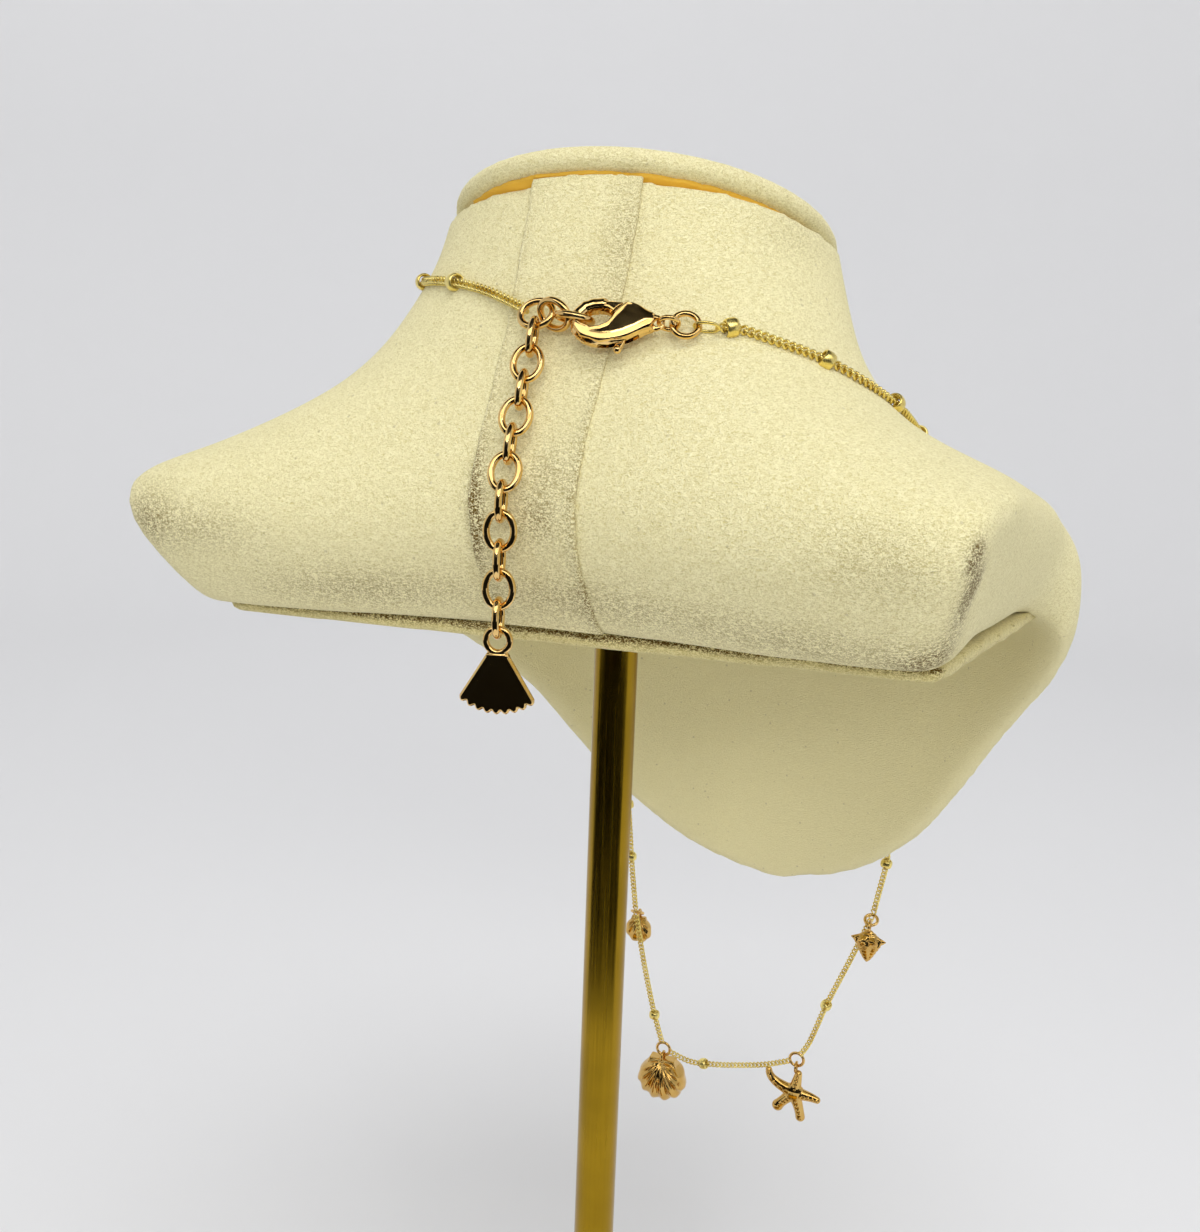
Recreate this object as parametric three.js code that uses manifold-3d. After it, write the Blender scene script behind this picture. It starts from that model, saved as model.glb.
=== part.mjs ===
// Shell charm necklace shown on a suede-covered neck bust stand.
// Millimetres, +Z up. The bust looks along -Y, so the clasp at the nape is on the +Y side.
import * as THREE from "three";
import { mergeVertices } from "three/addons/utils/BufferGeometryUtils.js";
import Module from "manifold-3d";

const wasm = await Module();
wasm.setup();

// ---------- stand ----------
const POLE_D = 8;
const POLE_SEAT = 24;
const POLE_GAP = 0.25;
const POLE_FOOT = 2.5;
const BASE_D = 132;
const BASE_T = 6;
const BOARD_LEVEL = 225;
const BUST_ROLL = THREE.MathUtils.degToRad(2.47);
const BUST_NOD = THREE.MathUtils.degToRad(1.87);

// ---------- bust, in its own frame: z = 0 at the underside of its board ----------
const BOARD_T = 2.4;
const SEAM = 0.3;
const BIB_T = 4.6;
const LEVELS = [
  // height, nape y, shoulder corner x y, side x y, breast x y, front y
  { z: -92, back: 32.0, cx: 64, cy: 38.0, sx: 76.0, sy: -30, bx: 54.0, by: -84.0, front: -106.0 },
  { z: -60, back: 32.0, cx: 66, cy: 38.0, sx: 76.5, sy: -30, bx: 54.0, by: -82.0, front: -104.5 },
  { z: -30, back: 32.0, cx: 68, cy: 38.0, sx: 77.0, sy: -30, bx: 54.0, by: -80.0, front: -102.0 },
  { z: 0, back: 30.0, cx: 70, cy: 32.0, sx: 77.0, sy: -30, bx: 54.0, by: -77.0, front: -98.0 },
  { z: 6, back: 34.5, cx: 72, cy: 37.5, sx: 77.5, sy: -28, bx: 54.5, by: -73.0, front: -94.0 },
  { z: 12, back: 38.5, cx: 74, cy: 42.5, sx: 78.0, sy: -24, bx: 55.0, by: -66.0, front: -88.5 },
  { z: 19, back: 41.2, cx: 75, cy: 46.5, sx: 78.5, sy: -5, bx: 54.0, by: -54.0, front: -81.0 },
  { z: 23, back: 41.5, cx: 75, cy: 46.0, sx: 78.5, sy: 10, bx: 54.0, by: -42.0, front: -77.0 },
  { z: 26, back: 41.0, cx: 68, cy: 44.0, sx: 74.0, sy: 25, bx: 52.0, by: -30.0, front: -73.5 },
  { z: 31, back: 39.0, cx: 53, cy: 39.0, sx: 62.5, sy: 26, bx: 48.0, by: -14.0, front: -67.0 },
  { z: 35, back: 37.2, cx: 45, cy: 35.5, sx: 53.5, sy: 22, bx: 43.0, by: -15.0, front: -61.5 },
  { z: 40, back: 34.8, cx: 37.5, cy: 30.2, sx: 47.3, sy: 14, bx: 38.0, by: -19.0, front: -56.0 },
  { z: 45, back: 32.5, cx: 33.5, cy: 25.7, sx: 43.3, sy: 7, bx: 32.5, by: -23.0, front: -51.5 },
  { z: 50, back: 30.2, cx: 31, cy: 22.0, sx: 40.6, sy: 2, bx: 29, by: -27.0, front: -48.5 },
  { z: 56, back: 28.0, cx: 28.3, cy: 19, sx: 38.0, sy: -2, bx: 27.0, by: -29.5, front: -46.8 },
  { z: 62, back: 26.0, cx: 26.3, cy: 16.3, sx: 35.6, sy: -6, bx: 25.0, by: -32.0, front: -45.6 },
  { z: 70, back: 23.2, cx: 24.8, cy: 14.2, sx: 34.0, sy: -9.5, bx: 24.0, by: -33.6, front: -45.0 },
  { z: 80, back: 20.5, cx: 24, cy: 12.5, sx: 32.6, sy: -11, bx: 23.4, by: -34.4, front: -45.5 },
];
const BUST_BOTTOM = BOARD_T + SEAM;
const END_PLANE = { reach: 66.6, perY: 0.085, perZ: 0.363 };
const END_ROLL = { x: 68.2, y: -18, perY: 0.8, perZ: 0.3 };
const BIB_AXIS_Y = -30;
const BIB_EDGE = [
  // height, half spread of the panel in degrees about its upright axis
  { z: 4, spread: 101 },
  { z: 0, spread: 97 },
  { z: -8, spread: 86 },
  { z: -16, spread: 75 },
  { z: -25, spread: 64 },
  { z: -33, spread: 56 },
  { z: -40, spread: 50.5 },
  { z: -48, spread: 45 },
  { z: -57, spread: 38.5 },
  { z: -67, spread: 31 },
  { z: -75, spread: 23.5 },
  { z: -81, spread: 16 },
  { z: -85, spread: 8 },
  { z: -86.5, spread: 2 },
];
const CAP = { y: -10.4, z: 68.1, halfX: 33.8, halfY: 35.4, lean: THREE.MathUtils.degToRad(14.2), t: 3.6 };
const CAP_CORE = { share: 0.9, depth: 1.0 };
const STRIP = { x: -4.2, width: 18.4, t: 1.0, foot: 0.8 };
const BOARD_INSET = 0.6;
const BOARD_BACK = 31.2;

// ---------- necklace ----------
const CHAIN_D = 1.6;
const CHAIN_LIFT = 1.4;
const CHAIN_STEP = 4.8;
const CHAIN_CORE = { x: 0, y: -30, z: 235 };
const LINK = { length: 6.4, width: 5.4, wire: 0.95, pitch: 4.33 };
const LINK_GAP = 0.12;
const DROP_LINKS = 11;
const DROP_TURN = THREE.MathUtils.degToRad(18);
const CLASP = { x: -5.95, y: 33.4, z: 275.7, t: 2.4, bevel: 0.5 };
const CLASP_ALONG = { x: -0.96, y: -0.278, z: 0.03 };
const CLASP_FACING = { x: -0.228, y: 0.84, z: 0.492 };
const PIVOT = { u: 9.2, v: -0.2, pin: 0.4, bore: 0.55, eye: 1.15 };
const LEVER = { seat: 3.0, tip: 5.5, gap: 0.2, tongue: 0.8, slot: 1.4, tab: 4.75 };
const EYELET = { u: 13.1, r: 0.7, t: 0.8 };
const STATION = { wire: 0.8, lug: 3.3, lugWire: 0.7, gap: 0.15 };
const LEAN = { out: 0.85, down: 0.53 };
const TAG = { width: 12.2, height: 9.3, t: 1.3, lobes: 9, ring: 4.4, wire: 0.8, gap: 0.18 };
const FRONT = { y: -94.7, perX: 0.0838 };

// ---------- finishes ----------
const SUEDE = { color: 0xece2b0, roughness: 0.95, metalness: 0 };
const BRASS = { color: 0xb08a3c, roughness: 0.35, metalness: 1 };
const YELLOW_GOLD = { color: 0xe0bd4e, roughness: 0.3, metalness: 1 };
const ROSE_GOLD = { color: 0xd9a25c, roughness: 0.2, metalness: 1 };

const root = new THREE.Group();
root.name = "shell_charm_necklace";

function solidOf(geometry) {
  const plain = geometry.clone();
  plain.deleteAttribute("normal");
  plain.deleteAttribute("uv");
  const merged = mergeVertices(plain.index ? plain.toNonIndexed() : plain, 1e-4);
  return new wasm.Manifold(
    new wasm.Mesh({
      numProp: 3,
      vertProperties: new Float32Array(merged.attributes.position.array),
      triVerts: new Uint32Array(merged.index.array),
    }),
  );
}

function geometryOf(solid) {
  const mesh = solid.getMesh();
  const geometry = new THREE.BufferGeometry();
  geometry.setAttribute("position", new THREE.BufferAttribute(mesh.vertProperties, 3));
  geometry.setIndex(new THREE.BufferAttribute(mesh.triVerts, 1));
  geometry.computeVertexNormals();
  return geometry;
}

function piece(name, geometry, finish) {
  const mesh = new THREE.Mesh(geometry, new THREE.MeshStandardMaterial(finish));
  mesh.name = name;
  root.add(mesh);
  return mesh;
}

function onBust(geometry) {
  geometry.rotateX(BUST_NOD);
  geometry.rotateY(BUST_ROLL);
  geometry.translate(0, 0, BOARD_LEVEL);
  return geometry;
}

// Closed outline of the bust at one height; eight guide points, a smooth curve through them.
function outlineAt(z) {
  const rows = LEVELS;
  let i = rows.findIndex((row) => row.z > z);
  if (i < 1) i = i === 0 ? 1 : rows.length - 1;
  const at = (k) => rows[Math.min(Math.max(k, 0), rows.length - 1)];
  const a = at(i - 1);
  const b = at(i);
  const u = (z - a.z) / (b.z - a.z);
  const h = b.z - a.z;
  const value = (key) => {
    const before = at(i - 2);
    const after = at(i + 1);
    const rise = (b[key] - a[key]) / h;
    const rise0 = before === a ? rise : (a[key] - before[key]) / (a.z - before.z);
    const rise1 = after === b ? rise : (after[key] - b[key]) / (after.z - b.z);
    const m0 = rise0 * rise > 0 ? (2 * rise0 * rise) / (rise0 + rise) : 0;
    const m1 = rise1 * rise > 0 ? (2 * rise1 * rise) / (rise1 + rise) : 0;
    const u2 = u * u;
    const u3 = u2 * u;
    const start = (2 * u3 - 3 * u2 + 1) * a[key] + (u3 - 2 * u2 + u) * h * m0;
    const end = (3 * u2 - 2 * u3) * b[key] + (u3 - u2) * h * m1;
    return start + end;
  };
  const right = [
    [value("cx"), value("cy")],
    [value("sx"), value("sy")],
    [value("bx"), value("by")],
  ];
  const points = [new THREE.Vector3(0, value("back"), z)];
  for (const [x, y] of right) points.push(new THREE.Vector3(x, y, z));
  points.push(new THREE.Vector3(0, value("front"), z));
  for (const [x, y] of [...right].reverse()) points.push(new THREE.Vector3(-x, y, z));
  return new THREE.CatmullRomCurve3(points, true, "centripetal");
}

// Rings of equal length joined into one closed skin; the flat ends fan out from a hub point.
function skinOf(rings, hubOf = middleOf) {
  const count = rings[0].length;
  const position = rings.flat().flatMap((p) => [p.x, p.y, p.z]);
  const index = [];
  for (let i = 0; i < rings.length - 1; i += 1) {
    for (let j = 0; j < count; j += 1) {
      const a = i * count + j;
      const b = i * count + ((j + 1) % count);
      index.push(a, a + count, b, b, a + count, b + count);
    }
  }
  for (const last of [0, rings.length - 1]) {
    const hub = hubOf(rings[last]);
    const m = position.length / 3;
    position.push(hub.x, hub.y, hub.z);
    for (let j = 0; j < count; j += 1) {
      const a = last * count + j;
      const b = last * count + ((j + 1) % count);
      index.push(m, ...(last ? [b, a] : [a, b]));
    }
  }
  const geometry = new THREE.BufferGeometry();
  geometry.setAttribute("position", new THREE.Float32BufferAttribute(position, 3));
  geometry.setIndex(index);
  return geometry;
}

function middleOf(ring) {
  return ring.reduce((sum, p) => sum.add(p), new THREE.Vector3()).divideScalar(ring.length);
}

function range(from, to, steps) {
  return Array.from({ length: steps + 1 }, (_, i) => from + ((to - from) * i) / steps);
}

function outside(normal, point) {
  const box = new THREE.BoxGeometry(120, 400, 400);
  box.translate(60, 0, 0);
  const turn = new THREE.Quaternion().setFromUnitVectors(new THREE.Vector3(1, 0, 0), normal.normalize());
  box.applyQuaternion(turn);
  box.translate(point.x, point.y, point.z);
  return solidOf(box);
}

// Everything beyond one flat shoulder end; a second plane leaves the chest panel's rolled edge standing.
function flatEnd(side, inset) {
  return outside(
    new THREE.Vector3(side, END_PLANE.perY, -END_PLANE.perZ),
    new THREE.Vector3(side * (END_PLANE.reach - inset), 0, 0),
  );
}

function endCutter(side) {
  const roll = outside(
    new THREE.Vector3(side, END_ROLL.perY, -END_ROLL.perZ),
    new THREE.Vector3(side * END_ROLL.x, END_ROLL.y, 0),
  );
  return flatEnd(side, 0).intersect(roll);
}

// Everything above a plane parallel to the cap's top, a given depth below it.
function capCutter(depth) {
  const box = new THREE.BoxGeometry(200, 200, 100);
  box.translate(0, 0, 50 - depth);
  box.rotateX(CAP.lean);
  box.translate(0, CAP.y, CAP.z);
  return solidOf(box);
}

function insetRing(ring, depthOf) {
  const n = ring.length;
  return ring.map((p, i) => {
    const along = ring[(i + 1) % n].clone().sub(ring[(i + n - 1) % n]);
    const inward = new THREE.Vector3(along.y, -along.x, 0).normalize();
    return p.clone().addScaledVector(inward, depthOf(p));
  });
}

const AROUND = 72;
const ringAt = (z) => outlineAt(z).getPoints(AROUND).slice(0, AROUND);

// ---------- bust form: neck, shoulders and the chest panel that hangs on below them ----------
const lowest = BIB_EDGE[BIB_EDGE.length - 1].z;
const heights = [...range(lowest, -6, 10), ...range(0, 30, 15), ...range(32.5, 50, 7), ...range(54, 80, 7)];
const bustSkin = solidOf(skinOf(heights.map(ringAt)));

function bibSpreadAt(z) {
  const i = Math.max(1, BIB_EDGE.findIndex((row) => row.z <= z));
  const a = BIB_EDGE[i - 1];
  const b = BIB_EDGE[i];
  return THREE.MathUtils.degToRad(a.spread + ((b.spread - a.spread) * (z - a.z)) / (b.z - a.z));
}

// All that lies behind the chest panel, below the board's level.
const hollowLevels = [lowest - 1, ...range(lowest, BUST_BOTTOM, 26)];
const behindPanel = skinOf(hollowLevels.map((z) => insetRing(ringAt(z), () => BIB_T)));
// All that lies outside the panel's rounded edge.
const besidePanel = skinOf(
  hollowLevels.map((z) => {
    const spread = bibSpreadAt(Math.max(z, lowest));
    const at = (r, t) => new THREE.Vector3(r * Math.sin(t), BIB_AXIS_Y - r * Math.cos(t), z);
    const edge = [30, 60, 90, 120];
    const far = range(2 * Math.PI - spread, spread, 12).map((t) => at(200, t));
    const out = edge.map((r) => at(r, -spread));
    const home = [...edge].reverse().map((r) => at(r, spread));
    return [at(0, 0), ...out, ...far, ...home];
  }),
  (ring) => ring[0],
);

let form = bustSkin.subtract(solidOf(behindPanel)).subtract(solidOf(besidePanel));
form = form.subtract(capCutter(CAP.t + CAP_CORE.depth + SEAM));
for (const side of [-1, 1]) form = form.subtract(endCutter(side));

const bore = new THREE.CylinderGeometry(POLE_D / 2 + POLE_GAP, POLE_D / 2 + POLE_GAP, 80, 32);
bore.rotateX(Math.PI / 2);
bore.translate(0, 0, BOARD_LEVEL + POLE_SEAT + POLE_GAP - 40);
const boreSolid = solidOf(bore);
const seated = (solid) => geometryOf(solidOf(onBust(geometryOf(solid))).subtract(boreSolid));

const bustForm = piece("bust_form", seated(form), SUEDE);

// ---------- board that closes the underside ----------
const boardRing = insetRing(ringAt(BUST_BOTTOM), (p) => (p.y < BIB_AXIS_Y ? BIB_T + SEAM : BOARD_INSET));
const boardAt = (z) => boardRing.map((p) => new THREE.Vector3(p.x, Math.min(p.y, BOARD_BACK), z));
let board = solidOf(skinOf([boardAt(0), boardAt(BOARD_T)]));
for (const side of [-1, 1]) board = board.subtract(flatEnd(side, BOARD_INSET));
board = board.subtract(form);
piece("bottom_board", seated(board), SUEDE);

// ---------- oval cap on the neck: a padded oval on a smaller bare board that shows as a gap ----------
const capProfile = [
  [0, -CAP.t - CAP_CORE.depth],
  [CAP_CORE.share, -CAP.t - CAP_CORE.depth],
  [CAP_CORE.share, -CAP.t],
  [0.955, -CAP.t],
  [0.985, -CAP.t + 0.5],
  [1, -CAP.t / 2],
  [0.985, -0.5],
  [0.955, 0],
  [0, 0],
].map(([r, z]) => new THREE.Vector2(r, z));
const cap = new THREE.LatheGeometry(capProfile, 48);
cap.rotateX(Math.PI / 2);
cap.scale(CAP.halfX, CAP.halfY, 1);
cap.rotateX(CAP.lean);
cap.translate(0, CAP.y, CAP.z);
piece("neck_cap", onBust(cap), SUEDE);

// ---------- strip that covers the seam down the back ----------
function sheetOf(outer, inner) {
  const rows = outer.length;
  const cols = outer[0].length;
  const position = [...outer.flat(), ...inner.flat()].flatMap((p) => [p.x, p.y, p.z]);
  const out = (i, j) => i * cols + j;
  const back = (i, j) => rows * cols + i * cols + j;
  const index = [];
  const quad = (a, b, c, d) => index.push(a, b, c, a, c, d);
  for (let i = 0; i < rows - 1; i += 1) {
    for (let j = 0; j < cols - 1; j += 1) {
      quad(out(i, j), out(i, j + 1), out(i + 1, j + 1), out(i + 1, j));
      quad(back(i, j), back(i + 1, j), back(i + 1, j + 1), back(i, j + 1));
    }
    quad(out(i, 0), out(i + 1, 0), back(i + 1, 0), back(i, 0));
    quad(out(i, cols - 1), back(i, cols - 1), back(i + 1, cols - 1), out(i + 1, cols - 1));
  }
  for (let j = 0; j < cols - 1; j += 1) {
    quad(out(0, j), back(0, j), back(0, j + 1), out(0, j + 1));
    quad(out(rows - 1, j), out(rows - 1, j + 1), back(rows - 1, j + 1), back(rows - 1, j));
  }
  const geometry = new THREE.BufferGeometry();
  geometry.setAttribute("position", new THREE.Float32BufferAttribute(position, 3));
  geometry.setIndex(index);
  return geometry;
}

function backSurface(x, z, lift) {
  const level = Math.max(z, BUST_BOTTOM);
  const ring = insetRing(outlineAt(level).getPoints(AROUND * 2).slice(0, AROUND * 2), () => -lift);
  const back = ring.filter((p) => p.y > 0).sort((p, q) => p.x - q.x);
  const k = back.findIndex((p) => p.x > x);
  const p = back[k - 1];
  const q = back[k];
  return p.clone().lerp(q, (x - p.x) / (q.x - p.x)).setZ(z);
}

const stripHeights = [...range(STRIP.foot, 30, 14), ...range(34, 80, 12)];
const stripXs = range(STRIP.x + STRIP.width / 2, STRIP.x - STRIP.width / 2, 8);
const stripSide = (lift) => stripHeights.map((z) => stripXs.map((x) => backSurface(x, z, lift)));
const stripSheet = solidOf(sheetOf(stripSide(SEAM + STRIP.t), stripSide(SEAM)));
const strip = stripSheet.subtract(capCutter(CAP.t + SEAM));
const backStrip = piece("back_strip", onBust(geometryOf(strip)), SUEDE);

// ---------- pole and base ----------
const pole = new THREE.CylinderGeometry(POLE_D / 2, POLE_D / 2, BOARD_LEVEL + POLE_SEAT - POLE_FOOT, 32);
pole.rotateX(Math.PI / 2);
pole.translate(0, 0, (BOARD_LEVEL + POLE_SEAT + POLE_FOOT) / 2);
piece("pole", pole, BRASS);

const baseR = BASE_D / 2;
const baseProfile = [
  [0, 0],
  [baseR - 0.8, 0],
  [baseR, 0.8],
  [baseR, BASE_T - 1.2],
  [baseR - 0.4, BASE_T - 0.4],
  [baseR - 1.2, BASE_T],
  [POLE_D / 2 + POLE_GAP, BASE_T],
  [POLE_D / 2 + POLE_GAP, POLE_FOOT - POLE_GAP],
  [0, POLE_FOOT - POLE_GAP],
].map(([r, z]) => new THREE.Vector2(r, z));
const base = new THREE.LatheGeometry(baseProfile, 48);
base.rotateX(Math.PI / 2);
piece("round_base", base, BRASS);

// ---------- necklace: shapes its pieces share ----------
const vec = ({ x, y, z }) => new THREE.Vector3(x, y, z);

// A frame with X along the piece and Z the way its face looks, rolled about its own length.
function frameAt(at, along, facing, roll = 0) {
  const x = along.clone().normalize();
  const y = facing.clone().cross(x).normalize();
  const z = x.clone().cross(y);
  const frame = new THREE.Matrix4().makeBasis(x, y, z).setPosition(at);
  return frame.multiply(new THREE.Matrix4().makeRotationX(roll));
}

// Closed oval of round wire lying in the XY plane.
function ovalOf(length, width, wire, around = 16, sides = 6) {
  const a = (length - wire) / 2;
  const b = (width - wire) / 2;
  const geometry = new THREE.TorusGeometry(b, wire / 2, sides, around);
  const position = geometry.attributes.position;
  for (let i = 0; i < position.count; i += 1) {
    const turn = Math.atan2(position.getY(i), position.getX(i));
    const out = Math.hypot(position.getX(i), position.getY(i)) - b;
    const normal = new THREE.Vector2(b * Math.cos(turn), a * Math.sin(turn)).normalize();
    position.setX(i, a * Math.cos(turn) + out * normal.x);
    position.setY(i, b * Math.sin(turn) + out * normal.y);
  }
  return geometry;
}

const link = (name, frame) =>
  piece(name, ovalOf(LINK.length, LINK.width, LINK.wire).applyMatrix4(frame), ROSE_GOLD);

// Round bar along a smooth route.
function barAlong(points) {
  const section = new THREE.Shape();
  for (const turn of range(0, 315, 7)) {
    const t = THREE.MathUtils.degToRad(turn);
    const corner = [(CHAIN_D / 2) * Math.cos(t), (CHAIN_D / 2) * Math.sin(t)];
    if (turn === 0) section.moveTo(...corner);
    else section.lineTo(...corner);
  }
  const extrudePath = new THREE.CatmullRomCurve3(points, false, "centripetal");
  const steps = Math.max(1, Math.round(extrudePath.getLength() / CHAIN_STEP));
  return new THREE.ExtrudeGeometry(section, { extrudePath, steps, curveSegments: 1, bevelEnabled: false });
}

// A route point laid on the suede, on the line from the bust's core through a guide point.
function laid(guide) {
  const core = vec(CHAIN_CORE);
  const out = vec(guide).sub(core).normalize();
  const ray = new THREE.Raycaster(core.addScaledVector(out, 300), out.clone().negate());
  const [hit] = ray.intersectObjects([bustForm, backStrip]);
  return hit.point.addScaledVector(hit.face.normal, CHAIN_LIFT);
}

// ---------- clasp: hooked body, sprung lever on a pin ----------
const claspFrame = frameAt(vec(CLASP), vec(CLASP_ALONG), vec(CLASP_FACING));
const onClasp = (u, v, w = 0) => new THREE.Vector3(u, v, w).applyMatrix4(claspFrame);
const claspWay = (u, v, w = 0) => new THREE.Vector3(u, v, w).transformDirection(claspFrame);
const claspOutline = [
  { u: 0, v: -0.5 },
  { u: 1.5, v: -2.8 },
  { u: 4.8, v: -3.9 },
  { u: 8.6, v: -3.2 },
  { u: 12, v: -1.3 },
  { u: 13.4, v: -1.2 },
  { u: 14.3, v: 0 },
  { u: 13.4, v: 1.2 },
  { u: 12, v: 1.4 },
  { u: 10, v: 2.8 },
  { u: 7, v: 3.4 },
  { u: 4, v: 3.4 },
  { u: 1.5, v: 2.4 },
];
const claspHole = [
  { u: 1.5, v: -0.3 },
  { u: 2.4, v: -1.7 },
  { u: 4.2, v: -2.0 },
  { u: 6.1, v: -1.1 },
  { u: 6.6, v: 0.3 },
  { u: 5.4, v: 1.6 },
  { u: 3.2, v: 1.65 },
  { u: 1.9, v: 0.9 },
];

function closedCurve(points, steps) {
  const curve = new THREE.CatmullRomCurve3(
    points.map(({ u, v }) => new THREE.Vector3(u, v, 0)),
    true,
    "centripetal",
  );
  return curve.getPoints(steps).slice(0, steps).map((p) => new THREE.Vector2(p.x, p.y));
}

function slab(shape, thickness) {
  const settings = { depth: thickness, curveSegments: 12, bevelEnabled: false };
  return new THREE.ExtrudeGeometry(shape, settings).translate(0, 0, -thickness / 2);
}

// A slice of a disc or ring about the lever's pin, angles in degrees from the clasp's length.
function slice(from, to, inner, outer, thickness) {
  const [a, b] = [from, to].map(THREE.MathUtils.degToRad);
  const shape = new THREE.Shape();
  shape.absarc(PIVOT.u, PIVOT.v, outer, a, b, false);
  if (inner) shape.absarc(PIVOT.u, PIVOT.v, inner, b, a, true);
  else shape.lineTo(PIVOT.u, PIVOT.v);
  shape.closePath();
  return solidOf(slab(shape, thickness));
}

function disc(u, v, radius, thickness, w = 0) {
  const geometry = new THREE.CylinderGeometry(radius, radius, thickness, 16);
  geometry.rotateX(Math.PI / 2);
  geometry.translate(u, v, w);
  return solidOf(geometry);
}

function arm(turn, length, width, thickness) {
  const geometry = new THREE.BoxGeometry(length, width, thickness);
  geometry.translate(length / 2, 0, 0);
  geometry.rotateZ(THREE.MathUtils.degToRad(turn));
  geometry.translate(PIVOT.u, PIVOT.v, 0);
  return solidOf(geometry);
}

const blankShape = new THREE.Shape(closedCurve(claspOutline, 34));
blankShape.holes.push(new THREE.Path(closedCurve(claspHole, 20)));
const blankGeometry = new THREE.ExtrudeGeometry(blankShape, {
  depth: CLASP.t - 2 * CLASP.bevel,
  bevelThickness: CLASP.bevel,
  bevelSize: CLASP.bevel,
  bevelOffset: -CLASP.bevel,
  bevelSegments: 1,
});
const blank = solidOf(blankGeometry.translate(0, 0, CLASP.bevel - CLASP.t / 2));
const pinBore = disc(PIVOT.u, PIVOT.v, PIVOT.bore, CLASP.t + 1);
const deep = CLASP.t + 1;

let claspBody = blank.subtract(slice(112, 172, LEVER.seat, LEVER.tip, deep));
claspBody = claspBody.subtract(slice(100, 200, 0, LEVER.seat + 0.3, LEVER.slot));
claspBody = claspBody.subtract(slice(214, 302, 0, 6, LEVER.slot));
claspBody = claspBody.subtract(disc(PIVOT.u, PIVOT.v, PIVOT.eye + 0.3, LEVER.slot));
claspBody = claspBody.subtract(pinBore).subtract(disc(EYELET.u, 0, EYELET.r, deep));
for (const side of [-1, 1]) {
  claspBody = claspBody.subtract(disc(EYELET.u + 0.4, 0, 1.6, 2, side * (1 + EYELET.t / 2)));
}
piece("clasp_body", geometryOf(claspBody).applyMatrix4(claspFrame), ROSE_GOLD);

let lever = blank.intersect(slice(115, 172, LEVER.seat + LEVER.gap, LEVER.tip - LEVER.gap, deep));
lever = lever.add(arm(138, LEVER.seat + 0.8, 1.5, LEVER.tongue));
lever = lever.add(disc(PIVOT.u, PIVOT.v, PIVOT.eye, LEVER.tongue));
lever = lever.add(arm(246, LEVER.tab, 1.0, LEVER.tongue)).subtract(pinBore);
piece("clasp_lever", geometryOf(lever).applyMatrix4(claspFrame), ROSE_GOLD);

const pin = disc(PIVOT.u, PIVOT.v, PIVOT.pin, CLASP.t - 0.3);
piece("clasp_pin", geometryOf(pin).applyMatrix4(claspFrame), ROSE_GOLD);

// ---------- rings between the clasp and the right chain ----------
const FLAT = claspWay(0, 0, 1);
const claspRing = frameAt(onClasp(14.6, 0.1, -0.15), claspWay(1, 0), FLAT, THREE.MathUtils.degToRad(84));
piece("clasp_ring", ovalOf(3.5, 3.5, 0.6, 14).applyMatrix4(claspRing), ROSE_GOLD);
const chainRingWay = claspWay(0.985, -0.03, -0.155);
const chainRing = frameAt(onClasp(17.0, 0.3, -0.9), chainRingWay, FLAT);
piece("chain_ring", ovalOf(4.8, 4.6, 0.78).applyMatrix4(chainRing), ROSE_GOLD);
const endLinkAt = onClasp(20.05, 0.25, -1.38);
const endLink = frameAt(endLinkAt, chainRingWay, FLAT, Math.PI / 2);
piece("chain_end_link", ovalOf(4.2, 3.0, 0.5, 14).applyMatrix4(endLink), YELLOW_GOLD);

// ---------- extender: the link on the left chain, two more to the hook, and the hanging drop ----------
const linkA = { at: onClasp(-5.7, 2.6, -1.6), along: claspWay(1, -0.07, 0.22) };
const linkB = { at: onClasp(-2.8, 2.05, -0.9), along: claspWay(0.92, -0.41, 0.29) };
const linkC = { at: onClasp(0.53, 0.91, -0.15), along: claspWay(0.973, -0.213, 0.088) };
const surfaceAtA = claspWay(-0.27, 0, 0.96);
link("extender_link_a", frameAt(linkA.at, linkA.along, surfaceAtA));
link("extender_link_b", frameAt(linkB.at, linkB.along, surfaceAtA, THREE.MathUtils.degToRad(49)));
link("extender_link_c", frameAt(linkC.at, linkC.along, FLAT, THREE.MathUtils.degToRad(107)));

const dropFrom = surfaceAtA.clone().cross(linkA.along).normalize();
dropFrom.multiplyScalar(LINK.wire + LINK_GAP - (LINK.length + LINK.width) / 2 + LINK.wire).add(linkA.at);
const dropGuides = [
  dropFrom,
  { x: -0.4, y: 36.45, z: 269.2 },
  { x: -0.8, y: 38.8, z: 264.8 },
  { x: -1.0, y: 40.9, z: 260.7 },
  { x: -1.3, y: 42.9, z: 256.4 },
  { x: -1.5, y: 44.6, z: 252.1 },
  { x: -1.6, y: 45.2, z: 247.7 },
  { x: -1.6, y: 45.3, z: 243 },
  { x: -1.6, y: 45.3, z: 220 },
].map(vec);
const dropRoute = new THREE.CatmullRomCurve3(dropGuides, false, "centripetal");
const dropLength = dropRoute.getLength();
for (const k of range(0, DROP_LINKS - 1, DROP_LINKS - 1)) {
  const u = (k * LINK.pitch) / dropLength;
  const along = dropRoute.getTangentAt(u);
  const facing = new THREE.Vector3(1, 0, 0).cross(along).negate();
  const roll = (k % 2 ? 0 : Math.PI / 2) - DROP_TURN;
  link(`drop_link_${String(k + 1).padStart(2, "0")}`, frameAt(dropRoute.getPointAt(u), along, facing, roll));
}

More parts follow.
